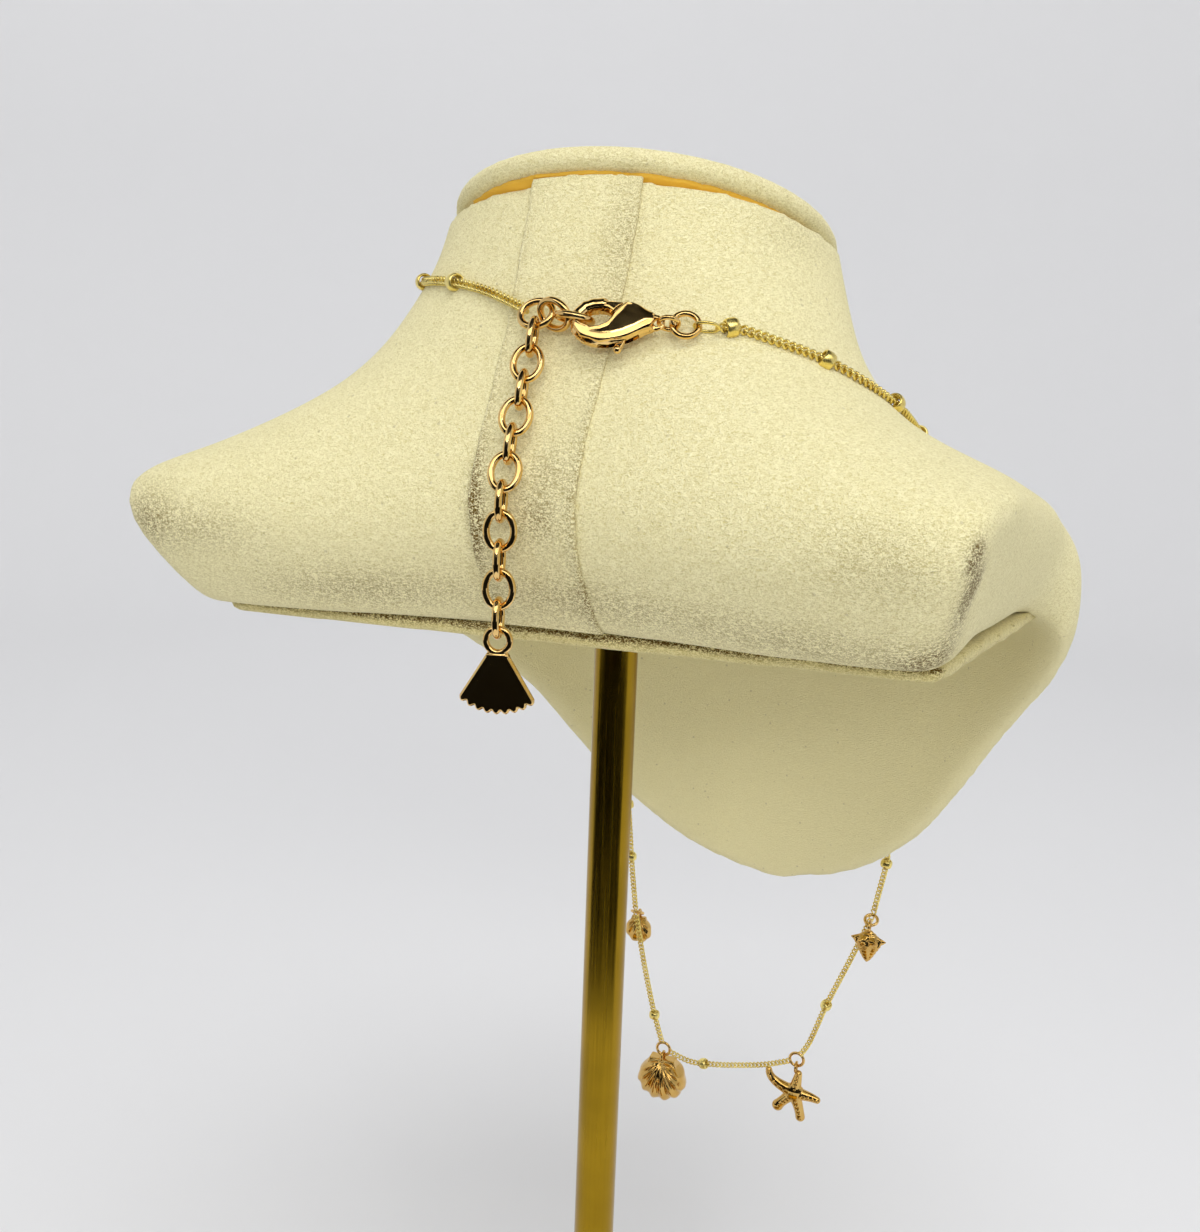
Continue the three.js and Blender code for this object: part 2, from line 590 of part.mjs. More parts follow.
// ---------- tag: a plain fan on a soldered ring ----------
function fanShape(width, height, lobes) {
  const shape = new THREE.Shape();
  const half = Math.asin(width / 2 / height);
  shape.moveTo(-1.6, 0.2);
  for (const t of range(-half, half, lobes * 4)) {
    const lobe = 0.94 + 0.06 * Math.abs(Math.cos((lobes * Math.PI * t) / (2 * half)));
    shape.lineTo(height * lobe * Math.sin(t), -height * lobe * Math.cos(t));
  }
  shape.lineTo(1.6, 0.2);
  shape.closePath();
  return shape;
}

const dropEnd = dropRoute.getPointAt(((DROP_LINKS - 1) * LINK.pitch) / dropLength);
const lastLinkFoot = dropEnd.z - (LINK.length - LINK.wire) / 2;
const tagRingTop = lastLinkFoot + (LINK.wire + TAG.wire) / 2 + TAG.gap;
const tagRingZ = tagRingTop - (TAG.ring - TAG.wire) / 2;
const tagPlate = new THREE.ExtrudeGeometry(fanShape(TAG.width, TAG.height, TAG.lobes), {
  depth: TAG.t - 0.4,
  bevelThickness: 0.2,
  bevelSize: 0.2,
  bevelOffset: -0.2,
  bevelSegments: 1,
});
tagPlate.translate(0, -TAG.ring / 2 + 0.1, 0.2 - TAG.t / 2);
const tag = solidOf(tagPlate).add(solidOf(ovalOf(TAG.ring, TAG.ring, TAG.wire)));
const tagFrame = new THREE.Matrix4().makeRotationZ(DROP_TURN).setPosition(dropEnd.x, dropEnd.y, tagRingZ);
tagFrame.multiply(new THREE.Matrix4().makeRotationX(Math.PI / 2));
piece("tag", geometryOf(tag).applyMatrix4(tagFrame), ROSE_GOLD);

// ---------- charms on the front ----------
const inFront = ({ x, z }) => new THREE.Vector3(x, FRONT.y + FRONT.perX * x, z);
const FRONT_WAY = new THREE.Vector3(1, FRONT.perX, 0).normalize();
// The shell and the starfish hang from the corners of the chain. The two small shells hang beside
// it, one behind and one in front, so their rings lean out from the chain.
const stations = {
  small_cockle: { x: 33.6, z: 118.6, ring: 4.0, lean: -1 },
  shell_charm: { x: 23.4, z: 78.3, ring: 4.6, lean: 0 },
  starfish_charm: { x: -14.5, z: 85, ring: 4.6, lean: 0 },
  small_conch: { x: -31.2, z: 131.4, ring: 4.0, lean: 1 },
};

function stationOf(name) {
  const { ring, lean, ...place } = stations[name];
  const down = new THREE.Vector3(0, LEAN.out * lean, lean ? -LEAN.down : -1);
  const r = (ring - STATION.wire) / 2;
  const centre = inFront(place);
  const held = lean ? centre.clone() : centre.clone().addScaledVector(down, -r);
  if (lean) centre.addScaledVector(down, r);
  const seat = centre.clone().addScaledVector(down, r);
  const lugR = (STATION.lug - STATION.lugWire) / 2;
  const lug = (STATION.wire + STATION.lugWire) / 2 + STATION.gap - lugR;
  return { ring, lean, down, centre, held, seat, lug, foot: lug - lugR };
}

// A charm is modelled about the low point of its ring: Z up, X along the necklace's front.
function charm(name, solid) {
  const { ring, down, centre, seat, lug } = stationOf(name);
  const frame = frameAt(centre, FRONT_WAY, FRONT_WAY.clone().cross(down));
  piece(`${name}_ring`, ovalOf(ring, ring, STATION.wire, 14).applyMatrix4(frame), ROSE_GOLD);
  const wireLug = ovalOf(STATION.lug, STATION.lug, STATION.lugWire, 12);
  wireLug.rotateY(Math.PI / 2);
  wireLug.translate(0, 0, lug);
  const upright = new THREE.Matrix4().makeRotationZ(Math.atan(FRONT.perX)).setPosition(seat);
  piece(name, geometryOf(solid.add(solidOf(wireLug))).applyMatrix4(upright), ROSE_GOLD);
}

// A closed ribbed shell hanging by its hinge, with two small ears beside the hinge.
function cockleOf({ top, width, height, depth, ribs, around, rows }) {
  const geometry = new THREE.SphereGeometry(1, around, rows);
  const position = geometry.attributes.position;
  for (let i = 0; i < position.count; i += 1) {
    const p = new THREE.Vector3().fromBufferAttribute(position, i);
    const fan = Math.atan2(p.x, 1.15 - p.y);
    const rib = 1 + 0.05 * Math.cos(2 * ribs * fan) * (1 - Math.abs(p.z));
    const taper = 1 - 0.28 * Math.max(0, p.y);
    const x = (width / 2) * p.x * taper * rib;
    const z = (height / 2) * (p.y * rib - 1) + top;
    position.setXYZ(i, x, (-depth / 2) * p.z, z);
  }
  const ears = new THREE.BoxGeometry(width * 0.55, depth * 0.42, height * 0.2);
  ears.translate(0, 0, top - height * 0.12);
  return solidOf(geometry).add(solidOf(ears));
}

// A whelk-like shell: short spire, knobbed shoulder, body drawn out to a point below.
function conchOf({ top, width, height, depth, knobs }) {
  const profile = [
    [0, 1],
    [0.3, 0.96],
    [0.52, 0.86],
    [0.94, 0.72],
    [0.9, 0.58],
    [0.62, 0.36],
    [0.36, 0.14],
    [0.14, 0.01],
    [0, 0],
  ].map(([r, z]) => new THREE.Vector2(r, z));
  const geometry = new THREE.LatheGeometry(profile.reverse(), knobs * 3);
  const position = geometry.attributes.position;
  for (let i = 0; i < position.count; i += 1) {
    const p = new THREE.Vector3().fromBufferAttribute(position, i);
    const shoulder = Math.max(0, 1 - Math.abs(p.y - 0.72) / 0.2);
    const out = 1 + 0.22 * shoulder * Math.cos(knobs * Math.atan2(p.z, p.x));
    position.setXYZ(i, (width / 2) * p.x * out, (-depth / 2) * p.z * out, height * (p.y - 1) + top);
  }
  return solidOf(geometry);
}

const footOf = (name) => stationOf(name).foot + 0.35;
const cockle = { width: 7.6, height: 7.6, depth: 3.6, ribs: 5, around: 20, rows: 8 };
const bigCockle = { width: 14.2, height: 12.2, depth: 10.4, ribs: 6, around: 24, rows: 10 };
const conch = { width: 7.6, height: 9, depth: 3.6, knobs: 6 };
charm("small_cockle", cockleOf({ ...cockle, top: footOf("small_cockle") }));
charm("small_conch", conchOf({ ...conch, top: footOf("small_conch") }));
charm("shell_charm", cockleOf({ ...bigCockle, top: footOf("shell_charm") }));

// Five-armed star, thick in the middle and thin at the tips; arms by direction and reach.
const ARMS = [
  { turn: 29, reach: 9.8 },
  { turn: 98, reach: 7.0 },
  { turn: 175, reach: 7.4 },
  { turn: 250, reach: 8.8 },
  { turn: 312, reach: 8.4 },
];
const STAR = { waist: 2.9, t: 3.4, drop: 8.2, tip: 0.85 };

function starfish() {
  const middle = new THREE.SphereGeometry(1, 12, 6);
  middle.scale(STAR.waist, STAR.t / 2, STAR.waist);
  middle.translate(0, 0, -STAR.drop);
  let solid = solidOf(middle);
  for (const { turn, reach } of ARMS) {
    const limb = new THREE.CylinderGeometry(STAR.tip, 1.65, reach - STAR.tip, 8);
    limb.translate(0, (reach - STAR.tip) / 2, 0);
    const tip = new THREE.SphereGeometry(STAR.tip * 1.12, 8, 5);
    tip.translate(0, reach - STAR.tip, 0);
    for (const part of [limb, tip]) {
      part.rotateX(Math.PI / 2);
      part.scale(1, 0.8, 1);
      part.rotateY(THREE.MathUtils.degToRad(90 - turn));
      part.translate(0, 0, -STAR.drop);
      solid = solid.add(solidOf(part));
    }
  }
  return solid;
}

charm("starfish_charm", starfish());

// ---------- chain: five stretches between the extender, the charms' rings and the clasp ----------
// Where a stretch starts: just clear of the wire it is hooked to, on the line towards a point.
const clearOf = (at, towards, reach) => at.clone().add(towards.clone().sub(at).setLength(reach + SEAM));

function atStation(name, towards) {
  const { ring, lean, centre, held } = stationOf(name);
  return lean ? clearOf(held, towards, STATION.wire / 2 + 0.4) : clearOf(centre, towards, ring / 2);
}

const leftOnBust = [
  { x: 12.7, y: 25.6, z: 280.1 },
  { x: 20.5, y: 22.6, z: 281.5 },
  { x: 28, y: 18, z: 281.8 },
  { x: 35, y: 10, z: 281.8 },
  { x: 39, y: 0, z: 281 },
  { x: 39, y: -10, z: 277.5 },
  { x: 37, y: -20, z: 272 },
  { x: 34, y: -29, z: 265 },
  { x: 33, y: -40, z: 256.5 },
  { x: 34, y: -54, z: 248.5 },
  { x: 37, y: -68, z: 240 },
  { x: 39.5, y: -78, z: 230 },
  { x: 40.5, y: -82.5, z: 224 },
  { x: 40.8, y: -85.5, z: 215 },
  { x: 40, y: -88, z: 198 },
  { x: 39, y: -89.5, z: 180 },
  { x: 38, y: -90.3, z: 164 },
].map((guide) => laid(guide));
const rightOnBust = [
  { x: -28, y: 23, z: 275.2 },
  { x: -33.6, y: 20.6, z: 273.4 },
  { x: -39.9, y: 16.5, z: 270.9 },
  { x: -44.6, y: 12.9, z: 268.1 },
  { x: -48.5, y: 5, z: 264.5 },
  { x: -50, y: -6, z: 260.5 },
  { x: -50, y: -18, z: 257 },
  { x: -49.5, y: -31, z: 253.5 },
  { x: -49, y: -44, z: 249.5 },
  { x: -48, y: -57, z: 244.5 },
  { x: -47, y: -69, z: 237.5 },
  { x: -45.5, y: -79, z: 228 },
  { x: -43.5, y: -85, z: 215 },
  { x: -41, y: -89, z: 199 },
  { x: -38, y: -92.5, z: 182 },
  { x: -35.5, y: -95.5, z: 166 },
  { x: -33.8, y: -97, z: 152 },
].map((guide) => laid(guide));

const leftHang = [{ x: 37.2, z: 151 }, { x: 35.4, z: 133 }].map(inFront);
const leftLow = [{ x: 30.7, z: 104.5 }, { x: 26.6, z: 88.2 }].map(inFront);
const frontLow = [
  { x: 15.4, z: 76.4 },
  { x: 8, z: 77.4 },
  { x: 1, z: 79.1 },
  { x: -6, z: 81.2 },
].map(inFront);
const rightLow = [{ x: -17.3, z: 90.5 }, { x: -21.2, z: 103 }, { x: -26.6, z: 118 }].map(inFront);
const rightHang = [{ x: -32.3, z: 138.6 }, { x: -33.4, z: 146 }].map(inFront);

const chains = {
  chain_left_upper: [
    clearOf(linkA.at, leftOnBust[0], LINK.length / 2),
    ...leftOnBust,
    ...leftHang,
    atStation("small_cockle", leftHang[1]),
  ],
  chain_left_lower: [
    atStation("small_cockle", leftLow[0]),
    ...leftLow,
    atStation("shell_charm", leftLow[1]),
  ],
  chain_front: [atStation("shell_charm", frontLow[0]), ...frontLow, atStation("starfish_charm", frontLow[3])],
  chain_right_lower: [
    atStation("starfish_charm", rightLow[0]),
    ...rightLow,
    atStation("small_conch", rightLow[2]),
  ],
  chain_right_upper: [
    atStation("small_conch", rightHang[0]),
    ...rightHang,
    ...[...rightOnBust].reverse(),
    clearOf(endLinkAt, rightOnBust[0], 2.1),
  ],
};
for (const [name, points] of Object.entries(chains)) piece(name, barAlong(points), YELLOW_GOLD);

export default root;
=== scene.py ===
"""Shell charm necklace on its neck bust stand: what is seen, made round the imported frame."""

import math

import bmesh
import bpy
import numpy as np
from mathutils import Matrix, Vector
from mathutils.bvhtree import BVHTree


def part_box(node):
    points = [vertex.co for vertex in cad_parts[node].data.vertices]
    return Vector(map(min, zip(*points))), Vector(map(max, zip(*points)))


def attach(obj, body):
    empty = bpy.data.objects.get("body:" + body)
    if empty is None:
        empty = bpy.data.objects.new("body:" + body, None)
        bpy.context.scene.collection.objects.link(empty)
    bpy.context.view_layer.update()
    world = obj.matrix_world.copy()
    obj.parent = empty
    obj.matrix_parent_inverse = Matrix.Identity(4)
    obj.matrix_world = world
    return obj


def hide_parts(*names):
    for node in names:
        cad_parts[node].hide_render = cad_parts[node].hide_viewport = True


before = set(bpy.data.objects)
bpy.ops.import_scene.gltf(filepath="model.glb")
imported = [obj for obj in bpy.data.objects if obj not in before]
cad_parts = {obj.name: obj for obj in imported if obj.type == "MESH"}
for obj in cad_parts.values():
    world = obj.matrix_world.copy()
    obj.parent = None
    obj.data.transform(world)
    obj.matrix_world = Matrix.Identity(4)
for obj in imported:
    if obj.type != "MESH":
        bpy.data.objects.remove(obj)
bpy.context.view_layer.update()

# ----------------------------------------
# Studio. A pale floor that sweeps up all round into a low wall, open at the top to soft light.
# Dark and bright cards stand round the necklace; only polished metal sees them.
# ----------------------------------------
CAMERA_AT = Vector((-0.0906, 0.1948, 0.2716))
CAMERA_TURN = math.radians(25.81)
CAMERA_PITCH = math.radians(12.36)
CAMERA_ROLL = math.radians(2.06)
LENS = 35.065
BUST_MIDDLE = Vector((0, 0, 0.25))
SWEEP = {"radius": 1.5, "bend": 0.5, "height": 1.5}
PALE_PAPER = (0.84, 0.84, 0.845)
ROOM = {"Color": (0.97, 0.975, 1.0, 1), "Strength": 0.41}
LAMPS = {
    # name: place, aim, size, power
    "key": ((-0.25, 0.35, 1.15), BUST_MIDDLE, (0.8, 0.5), 5.1),
    "front": ((-0.55, 0.95, 0.75), BUST_MIDDLE, (0.9, 0.25), 5.0),
    "backdrop": ((0.5, -0.6, 1.4), (0.6, -1.2, 0.2), (1.6, 0.8), 3.6),
}
CARDS = {
    # name: the turns and the rises that it spans in degrees, its distance, its glow
    "dark_room": ((-62, 42), (-17.5, 25), 0.8, 0),
    "dark_table": ((-90, 70), (-46, -15), 0.36, 0),
    "bright_panel": ((-85, 40), (27, 46), 0.8, 1.7),
    "dark_ceiling": ((-180, 180), (51, 90), 0.8, 0),
}
CARD_ROWS, CARD_COLUMNS = 7, 25
CARD_GLOW = (1.0, 0.97, 0.92, 1)


def new_object(name, data):
    made = bpy.data.objects.new(name, data)
    bpy.context.scene.collection.objects.link(made)
    return made


def mesh_data(name, points, faces):
    mesh = bpy.data.meshes.new(name)
    mesh.from_pydata([tuple(p) for p in points], [], [tuple(int(i) for i in f) for f in faces])
    return mesh


def mesh_of(name, points, faces):
    mesh = mesh_data(name, points, faces)
    mesh.polygons.foreach_set("use_smooth", [True] * len(mesh.polygons))
    mesh.update()
    return new_object(name, mesh)


def lathe(name, profile, turns):
    """Turned form: (radius, height) pairs, in metres, swept round Z. Ends on the axis close it."""
    points, faces = [], []
    rings = []
    for radius, height in profile:
        if radius < 1e-7:
            rings.append([len(points)] * turns)
            points.append((0, 0, height))
            continue
        rings.append(range(len(points), len(points) + turns))
        for k in range(turns):
            a = 2 * math.pi * k / turns
            points.append((radius * math.cos(a), radius * math.sin(a), height))
    for low, high in zip(rings, rings[1:]):
        for k in range(turns):
            m = (k + 1) % turns
            face = [low[k], low[m], high[m], high[k]]
            faces.append([v for i, v in enumerate(face) if v not in face[:i]])
    return mesh_of(name, points, faces)


def new_material(name):
    made = bpy.data.materials.new(name)
    made.use_nodes = True
    tree = made.node_tree
    return made, tree, tree.nodes["Principled BSDF"]


def put(node, values):
    """Sets a shading node's inputs, by their names."""
    for key, value in values.items():
        node.inputs[key].default_value = value


def plain_paint(name, colour):
    paint, _, shader = new_material(name)
    put(shader, {"Base Color": (*colour, 1), "Roughness": 0.9})
    return paint, shader


def camera():
    turn, pitch, roll = CAMERA_TURN, CAMERA_PITCH, CAMERA_ROLL
    ahead = Vector((math.sin(turn), -math.cos(turn), 0))
    forward = ahead * math.cos(pitch) - Vector((0, 0, math.sin(pitch)))
    level = Vector((-math.cos(turn), -math.sin(turn), 0))
    upright = level.cross(forward)
    right = level * math.cos(roll) + upright * math.sin(roll)
    up = upright * math.cos(roll) - level * math.sin(roll)
    lens = bpy.data.cameras.new("camera")
    lens.lens = LENS
    lens.clip_start = 0.01
    made = new_object("camera", lens)
    made.matrix_world = Matrix((right, up, -forward)).transposed().to_4x4()
    made.location = CAMERA_AT
    bpy.context.scene.camera = made


def sweep():
    radius, bend, height = SWEEP["radius"], SWEEP["bend"], SWEEP["height"]
    profile = [(0, 0), (radius - bend, 0)]
    for k in range(1, 13):
        a = math.pi / 2 * k / 12
        profile.append((radius - bend + bend * math.sin(a), bend - bend * math.cos(a)))
    profile.append((radius, height))
    made = lathe("sweep", profile, 96)
    made.data.materials.append(plain_paint("pale_paper", PALE_PAPER)[0])


def room():
    world = bpy.data.worlds.new("room")
    world.use_nodes = True
    put(world.node_tree.nodes["Background"], ROOM)
    bpy.context.scene.world = world
    bpy.context.scene.view_settings.view_transform = "Standard"


def lamp(name, at, aim, size, power):
    light = bpy.data.lights.new(name, "AREA")
    light.shape = "RECTANGLE"
    light.size, light.size_y = size
    light.energy = power
    made = new_object(name, light)
    made.location = at
    made.rotation_mode = "QUATERNION"
    made.rotation_quaternion = (Vector(at) - Vector(aim)).to_track_quat("Z", "Y")
    made.visible_camera = False


def card(name, turns, rises, distance, glow):
    """A curved card that only gloss sees: black, or bright by its glow."""
    points = []
    for e in np.radians(np.linspace(*rises, CARD_ROWS)):
        for a in np.radians(np.linspace(*turns, CARD_COLUMNS)):
            out = Vector((math.sin(a) * math.cos(e), math.cos(a) * math.cos(e), math.sin(e)))
            points.append(BUST_MIDDLE + out * distance)
    corners = [row * CARD_COLUMNS + k for row in range(CARD_ROWS - 1) for k in range(CARD_COLUMNS - 1)]
    faces = [(k, k + 1, k + 1 + CARD_COLUMNS, k + CARD_COLUMNS) for k in corners]
    made = mesh_of(name, points, faces)
    paint, shader = plain_paint(name, (0.01, 0.01, 0.01))
    put(shader, {"Specular IOR Level": 0, "Emission Color": CARD_GLOW, "Emission Strength": glow})
    made.data.materials.append(paint)
    made.visible_camera = False
    made.visible_diffuse = False
    made.visible_shadow = False


camera()
sweep()
room()
for name, spec in LAMPS.items():
    lamp(name, *spec)
for name, spec in CARDS.items():
    card(name, *spec)

# ----------------------------------------
# Bust. A foam form under cream suede cloth: neck, shoulders with flat ends, and the chest panel
# that hangs on below. The cloth's nap is short and brushed, and its edges have picked up dirt.
# ----------------------------------------
NAP = {"fine": 5200, "tuft": 2500, "patch": 55, "fleck": 620, "fleck_group": 420, "relief": 0.0006}
SUEDE_LIGHT = (1.0, 0.93, 0.57)
SUEDE_DEEP = (0.70, 0.61, 0.27)
SHEEN = {"Sheen Weight": 0.5, "Sheen Roughness": 0.4, "Sheen Tint": (1.0, 0.93, 0.64, 1)}
# Colour of stains and flecks on the cream cloth; along the strip's edges it also paints shade.
SOIL_AND_SHADE = (0.14, 0.075, 0.0)
SOILED = [
    # place on the cloth in mm, reach in mm, strength
    ((-67.9, 42.1, 245.0), (1.8, 2.0, 2.6), 1.7),
    ((-68.7, 45.8, 248.8), (1.2, 1.6, 2.2), 1.2),
    ((-66.9, 40.8, 241.5), (1.8, 2.2, 2.6), 0.6),
    ((-65.2, 39.0, 235.5), (3.0, 3.5, 4.0), 0.4),
    ((-62.0, 38.5, 232.0), (4.0, 4.0, 2.6), 0.55),
    ((64.5, 48.5, 242.0), (5.0, 6.0, 5.0), 0.42),
    ((54.0, 48.5, 241.5), (10.0, 6.0, 4.0), 0.24),
    ((5.5, 41.0, 252.0), (1.6, 4.0, 7.0), 0.34),
    ((4.4, 42.0, 245.5), (1.6, 4.0, 6.0), 0.5),
    ((-6.0, 42.0, 247.5), (4.0, 4.0, 4.0), 0.36),
    ((-7.0, 41.0, 254.5), (4.0, 4.0, 4.0), 0.22),
    ((28.0, 39.0, 233.0), (24.0, 5.0, 4.0), 0.34),
    ((-12.0, 38.0, 235.0), (16.0, 5.0, 4.5), 0.26),
    ((-46.0, 41.0, 233.5), (24.0, 5.0, 4.5), 0.28),
    ((-58.0, 49.0, 247.0), (8.0, 4.0, 5.0), 0.14),
    ((-9.0, 24.0, 289.0), (3.0, 5.0, 12.0), 0.2),
    ((-30.0, 1.0, 291.0), (6.0, 12.0, 4.0), 0.1),
]
BUST_SKIN = {"step": 0.00112, "rounds": 220, "grow": 0.0005}
RIM = {"below_cap": 0.0046, "flat": 0.0012, "soft_to": 0.004, "crisp_to": 0.006, "fade": 0.009}
PANEL_TOP, PANEL_INSIDE, INSIDE_FADE = 0.222, 0.229, 0.006
FLANK = {"forward_of": 0.030, "out_from": 0.045}
FORM_FADE = 0.01


def noise(tree, coords, scale, detail, stretch=None, wander=0.0):
    node = tree.nodes.new("ShaderNodeTexNoise")
    put(node, {"Scale": scale, "Detail": detail, "Distortion": wander})
    if stretch:
        mapping = tree.nodes.new("ShaderNodeMapping")
        put(mapping, {"Scale": stretch})
        tree.links.new(coords, mapping.inputs["Vector"])
        coords = mapping.outputs["Vector"]
    tree.links.new(coords, node.inputs["Vector"])
    return node.outputs["Fac"]


def spread(tree, value, low, high, out_low=0.0, out_high=1.0):
    node = tree.nodes.new("ShaderNodeMapRange")
    put(node, {"From Min": low, "From Max": high, "To Min": out_low, "To Max": out_high})
    tree.links.new(value, node.inputs["Value"])
    return node.outputs["Result"]


def reckon(tree, operation, a, b):
    node = tree.nodes.new("ShaderNodeMath")
    node.operation = operation
    for socket, value in zip(node.inputs, (a, b)):
        if isinstance(value, (int, float)):
            socket.default_value = value
        else:
            tree.links.new(value, socket)
    return node.outputs["Value"]


def blend_colours(tree, share, a, b):
    node = tree.nodes.new("ShaderNodeMix")
    node.data_type = "RGBA"
    sockets = [s for s in node.inputs if s.type == "RGBA"]
    for socket, value in zip(sockets, (a, b)):
        if isinstance(value, tuple):
            socket.default_value = (*value, 1)
        else:
            tree.links.new(value, socket)
    tree.links.new(share, [s for s in node.inputs if s.type == "VALUE"][0])
    return [s for s in node.outputs if s.type == "RGBA"][0]


def on_mesh(tree, name):
    node = tree.nodes.new("ShaderNodeAttribute")
    node.attribute_name = name
    return node.outputs["Fac"]


def raised(tree, shader, height, strength, distance):
    relief = tree.nodes.new("ShaderNodeBump")
    put(relief, {"Strength": strength, "Distance": distance})
    tree.links.new(height, relief.inputs["Height"])
    tree.links.new(relief.outputs["Normal"], shader.inputs["Normal"])


def suede(name, light=SUEDE_LIGHT, deep=SUEDE_DEEP, dirt_and_shade=SOIL_AND_SHADE):
    """Light tips over deep roots, with flecks; how worn and soiled it is comes from the mesh, and so does
    the painted shade along the board's top and the strip's edges.
    """
    cloth, tree, shader = new_material(name)
    coords = tree.nodes.new("ShaderNodeTexCoord").outputs["Object"]
    fine = noise(tree, coords, NAP["fine"], 2.0)
    tuft = noise(tree, coords, NAP["tuft"], 2.5, (0.8, 0.8, 1.5), 1.1)
    patch = noise(tree, coords, NAP["patch"], 3.0)
    nap = reckon(tree, "ADD", reckon(tree, "MULTIPLY", fine, 0.4), reckon(tree, "MULTIPLY", tuft, 0.6))
    colour = blend_colours(tree, spread(tree, nap, 0.36, 0.58), deep, light)
    colour = blend_colours(tree, spread(tree, patch, 0.4, 0.75, 0.0, 0.08), colour, deep)
    even = tuple(0.3 * a + 0.7 * b for a, b in zip(deep, light))
    worn = reckon(tree, "MULTIPLY", on_mesh(tree, "worn"), 0.75)
    colour = blend_colours(tree, worn, colour, even)
    speck = tree.nodes.new("ShaderNodeTexVoronoi")
    put(speck, {"Scale": NAP["fleck"]})
    tree.links.new(coords, speck.inputs["Vector"])
    dot = spread(tree, speck.outputs["Distance"], 0.1, 0.22, 1.0, 0.0)
    chosen = spread(tree, noise(tree, coords, NAP["fleck_group"], 1.0), 0.6, 0.64)
    fleck = reckon(tree, "MULTIPLY", reckon(tree, "MULTIPLY", dot, chosen), 0.3)
    colour = blend_colours(tree, fleck, colour, dirt_and_shade)
    # Darkening read from the mesh, strongest in the nap's roots: real stains on the bust and cap, painted
    # shade along the board's top edge and the strip's edges.
    roots = spread(tree, nap, 0.57, 0.44, 0.08, 1.7)
    grime_and_shade = reckon(tree, "MULTIPLY", on_mesh(tree, "soil_and_shade"), roots)
    colour = blend_colours(tree, grime_and_shade, colour, dirt_and_shade)
    tree.links.new(colour, shader.inputs["Base Color"])
    put(shader, {"Roughness": 0.95, "Specular IOR Level": 0.15, **SHEEN})
    raised(tree, shader, nap, 0.9, NAP["relief"])
    return cloth


def read(made, what):
    out = np.zeros(len(made.data.vertices) * 3)
    made.data.vertices.foreach_get(what, out)
    return out.reshape(-1, 3)


def points_of(made):
    return read(made, "co")


def move_to(made, points):
    made.data.vertices.foreach_set("co", points.ravel())
    made.data.update()


def mark(made, name, values):
    """Writes a value at each point of the mesh, for the cloth's material."""
    layer = made.data.attributes.new(name, "FLOAT", "POINT")
    layer.data.foreach_set("value", values.astype(np.float32))


def soil_at(points):
    """How soiled the cloth is at each point, from the list of marks."""
    soil_and_shade = np.zeros(len(points))
    for at, reach, strength in SOILED:
        away = (points * 1000 - np.array(at)) / np.array(reach)
        soil_and_shade += strength * np.exp(-(away**2).sum(1))
    return np.clip(soil_and_shade, 0, 2)


def settle(made):
    """Applies the modifiers, so that the mesh holds its final shape."""
    graph = bpy.context.evaluated_depsgraph_get()
    final = bpy.data.meshes.new_from_object(made.evaluated_get(graph))
    made.modifiers.clear()
    made.data = final
    made.data.polygons.foreach_set("use_smooth", [True] * len(made.data.polygons))


def ease(made, rounds, group=""):
    smoothing = made.modifiers.new("ease", "SMOOTH")
    smoothing.factor = 0.5
    smoothing.iterations = rounds
    smoothing.vertex_group = group


def skin_over(made, step, rounds=0):
    """One close skin over all that the mesh holds, then eased for some rounds."""
    skin = made.modifiers.new("skin", "REMESH")
    skin.mode = "VOXEL"
    skin.voxel_size = step
    if rounds:
        ease(made, rounds)
    settle(made)


def soften(made, share, rounds):
    """Rounds the mesh off, each point by its share."""
    made.vertex_groups.clear()
    group = made.vertex_groups.new(name="yields")
    share = np.round(share, 2)
    for level in np.unique(share):
        group.add(np.flatnonzero(share == level).tolist(), float(level), "REPLACE")
    ease(made, rounds, "yields")
    settle(made)


def cloth_over(name, node, step, rounds, yields=None, grow=0.0):
    """A close cloth skin over one of the frame's solids, with its edges softly rounded.

    Yields says how much each point may give way (0 to 1); grow makes up for what rounding takes.
    """
    made = new_object(name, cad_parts[node].data.copy())
    made.data.materials.clear()
    weld = made.modifiers.new("weld", "WELD")
    weld.merge_threshold = 0.00001
    skin_over(made, step)
    points = points_of(made)
    soften(made, yields(points) if yields else np.ones(len(points)), rounds)
    move_to(made, points_of(made) + read(made, "normal") * grow)
    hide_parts(node)
    return made


def plane_of(node):
    """Middle, upward normal and top level of a flat piece, from its solid."""
    points = np.unique(np.round([v.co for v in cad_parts[node].data.vertices], 6), axis=0)
    middle = points.mean(0)
    up = np.linalg.eigh(np.cov((points - middle).T))[1][:, 0]
    up *= np.sign(up[2])
    return middle, up, ((points - middle) @ up).max()


def below_cap(points):
    """How far each point lies under the cap's upper face."""
    return CAP_TOP - (points - CAP_MIDDLE) @ CAP_UP


def fade(values, start, reach):
    """Rises from 0 at the start to 1 at the end of the reach, which may run downwards."""
    return np.clip((values - start) / reach, 0, 1)


def firm(points):
    """The neck's rim stays crisp, the panel keeps its thickness, and the shoulders round off."""
    panel = fade(points[:, 2], PANEL_TOP, -FORM_FADE)
    flank = fade(points[:, 1], FLANK["forward_of"], -FORM_FADE)
    flank *= fade(abs(points[:, 0]), FLANK["out_from"], FORM_FADE)
    rim = np.clip((below_cap(points) - RIM["crisp_to"]) / RIM["fade"], 0.04, 1)
    return rim * (0.24 + 0.76 * flank) * (1 - 0.5 * panel)


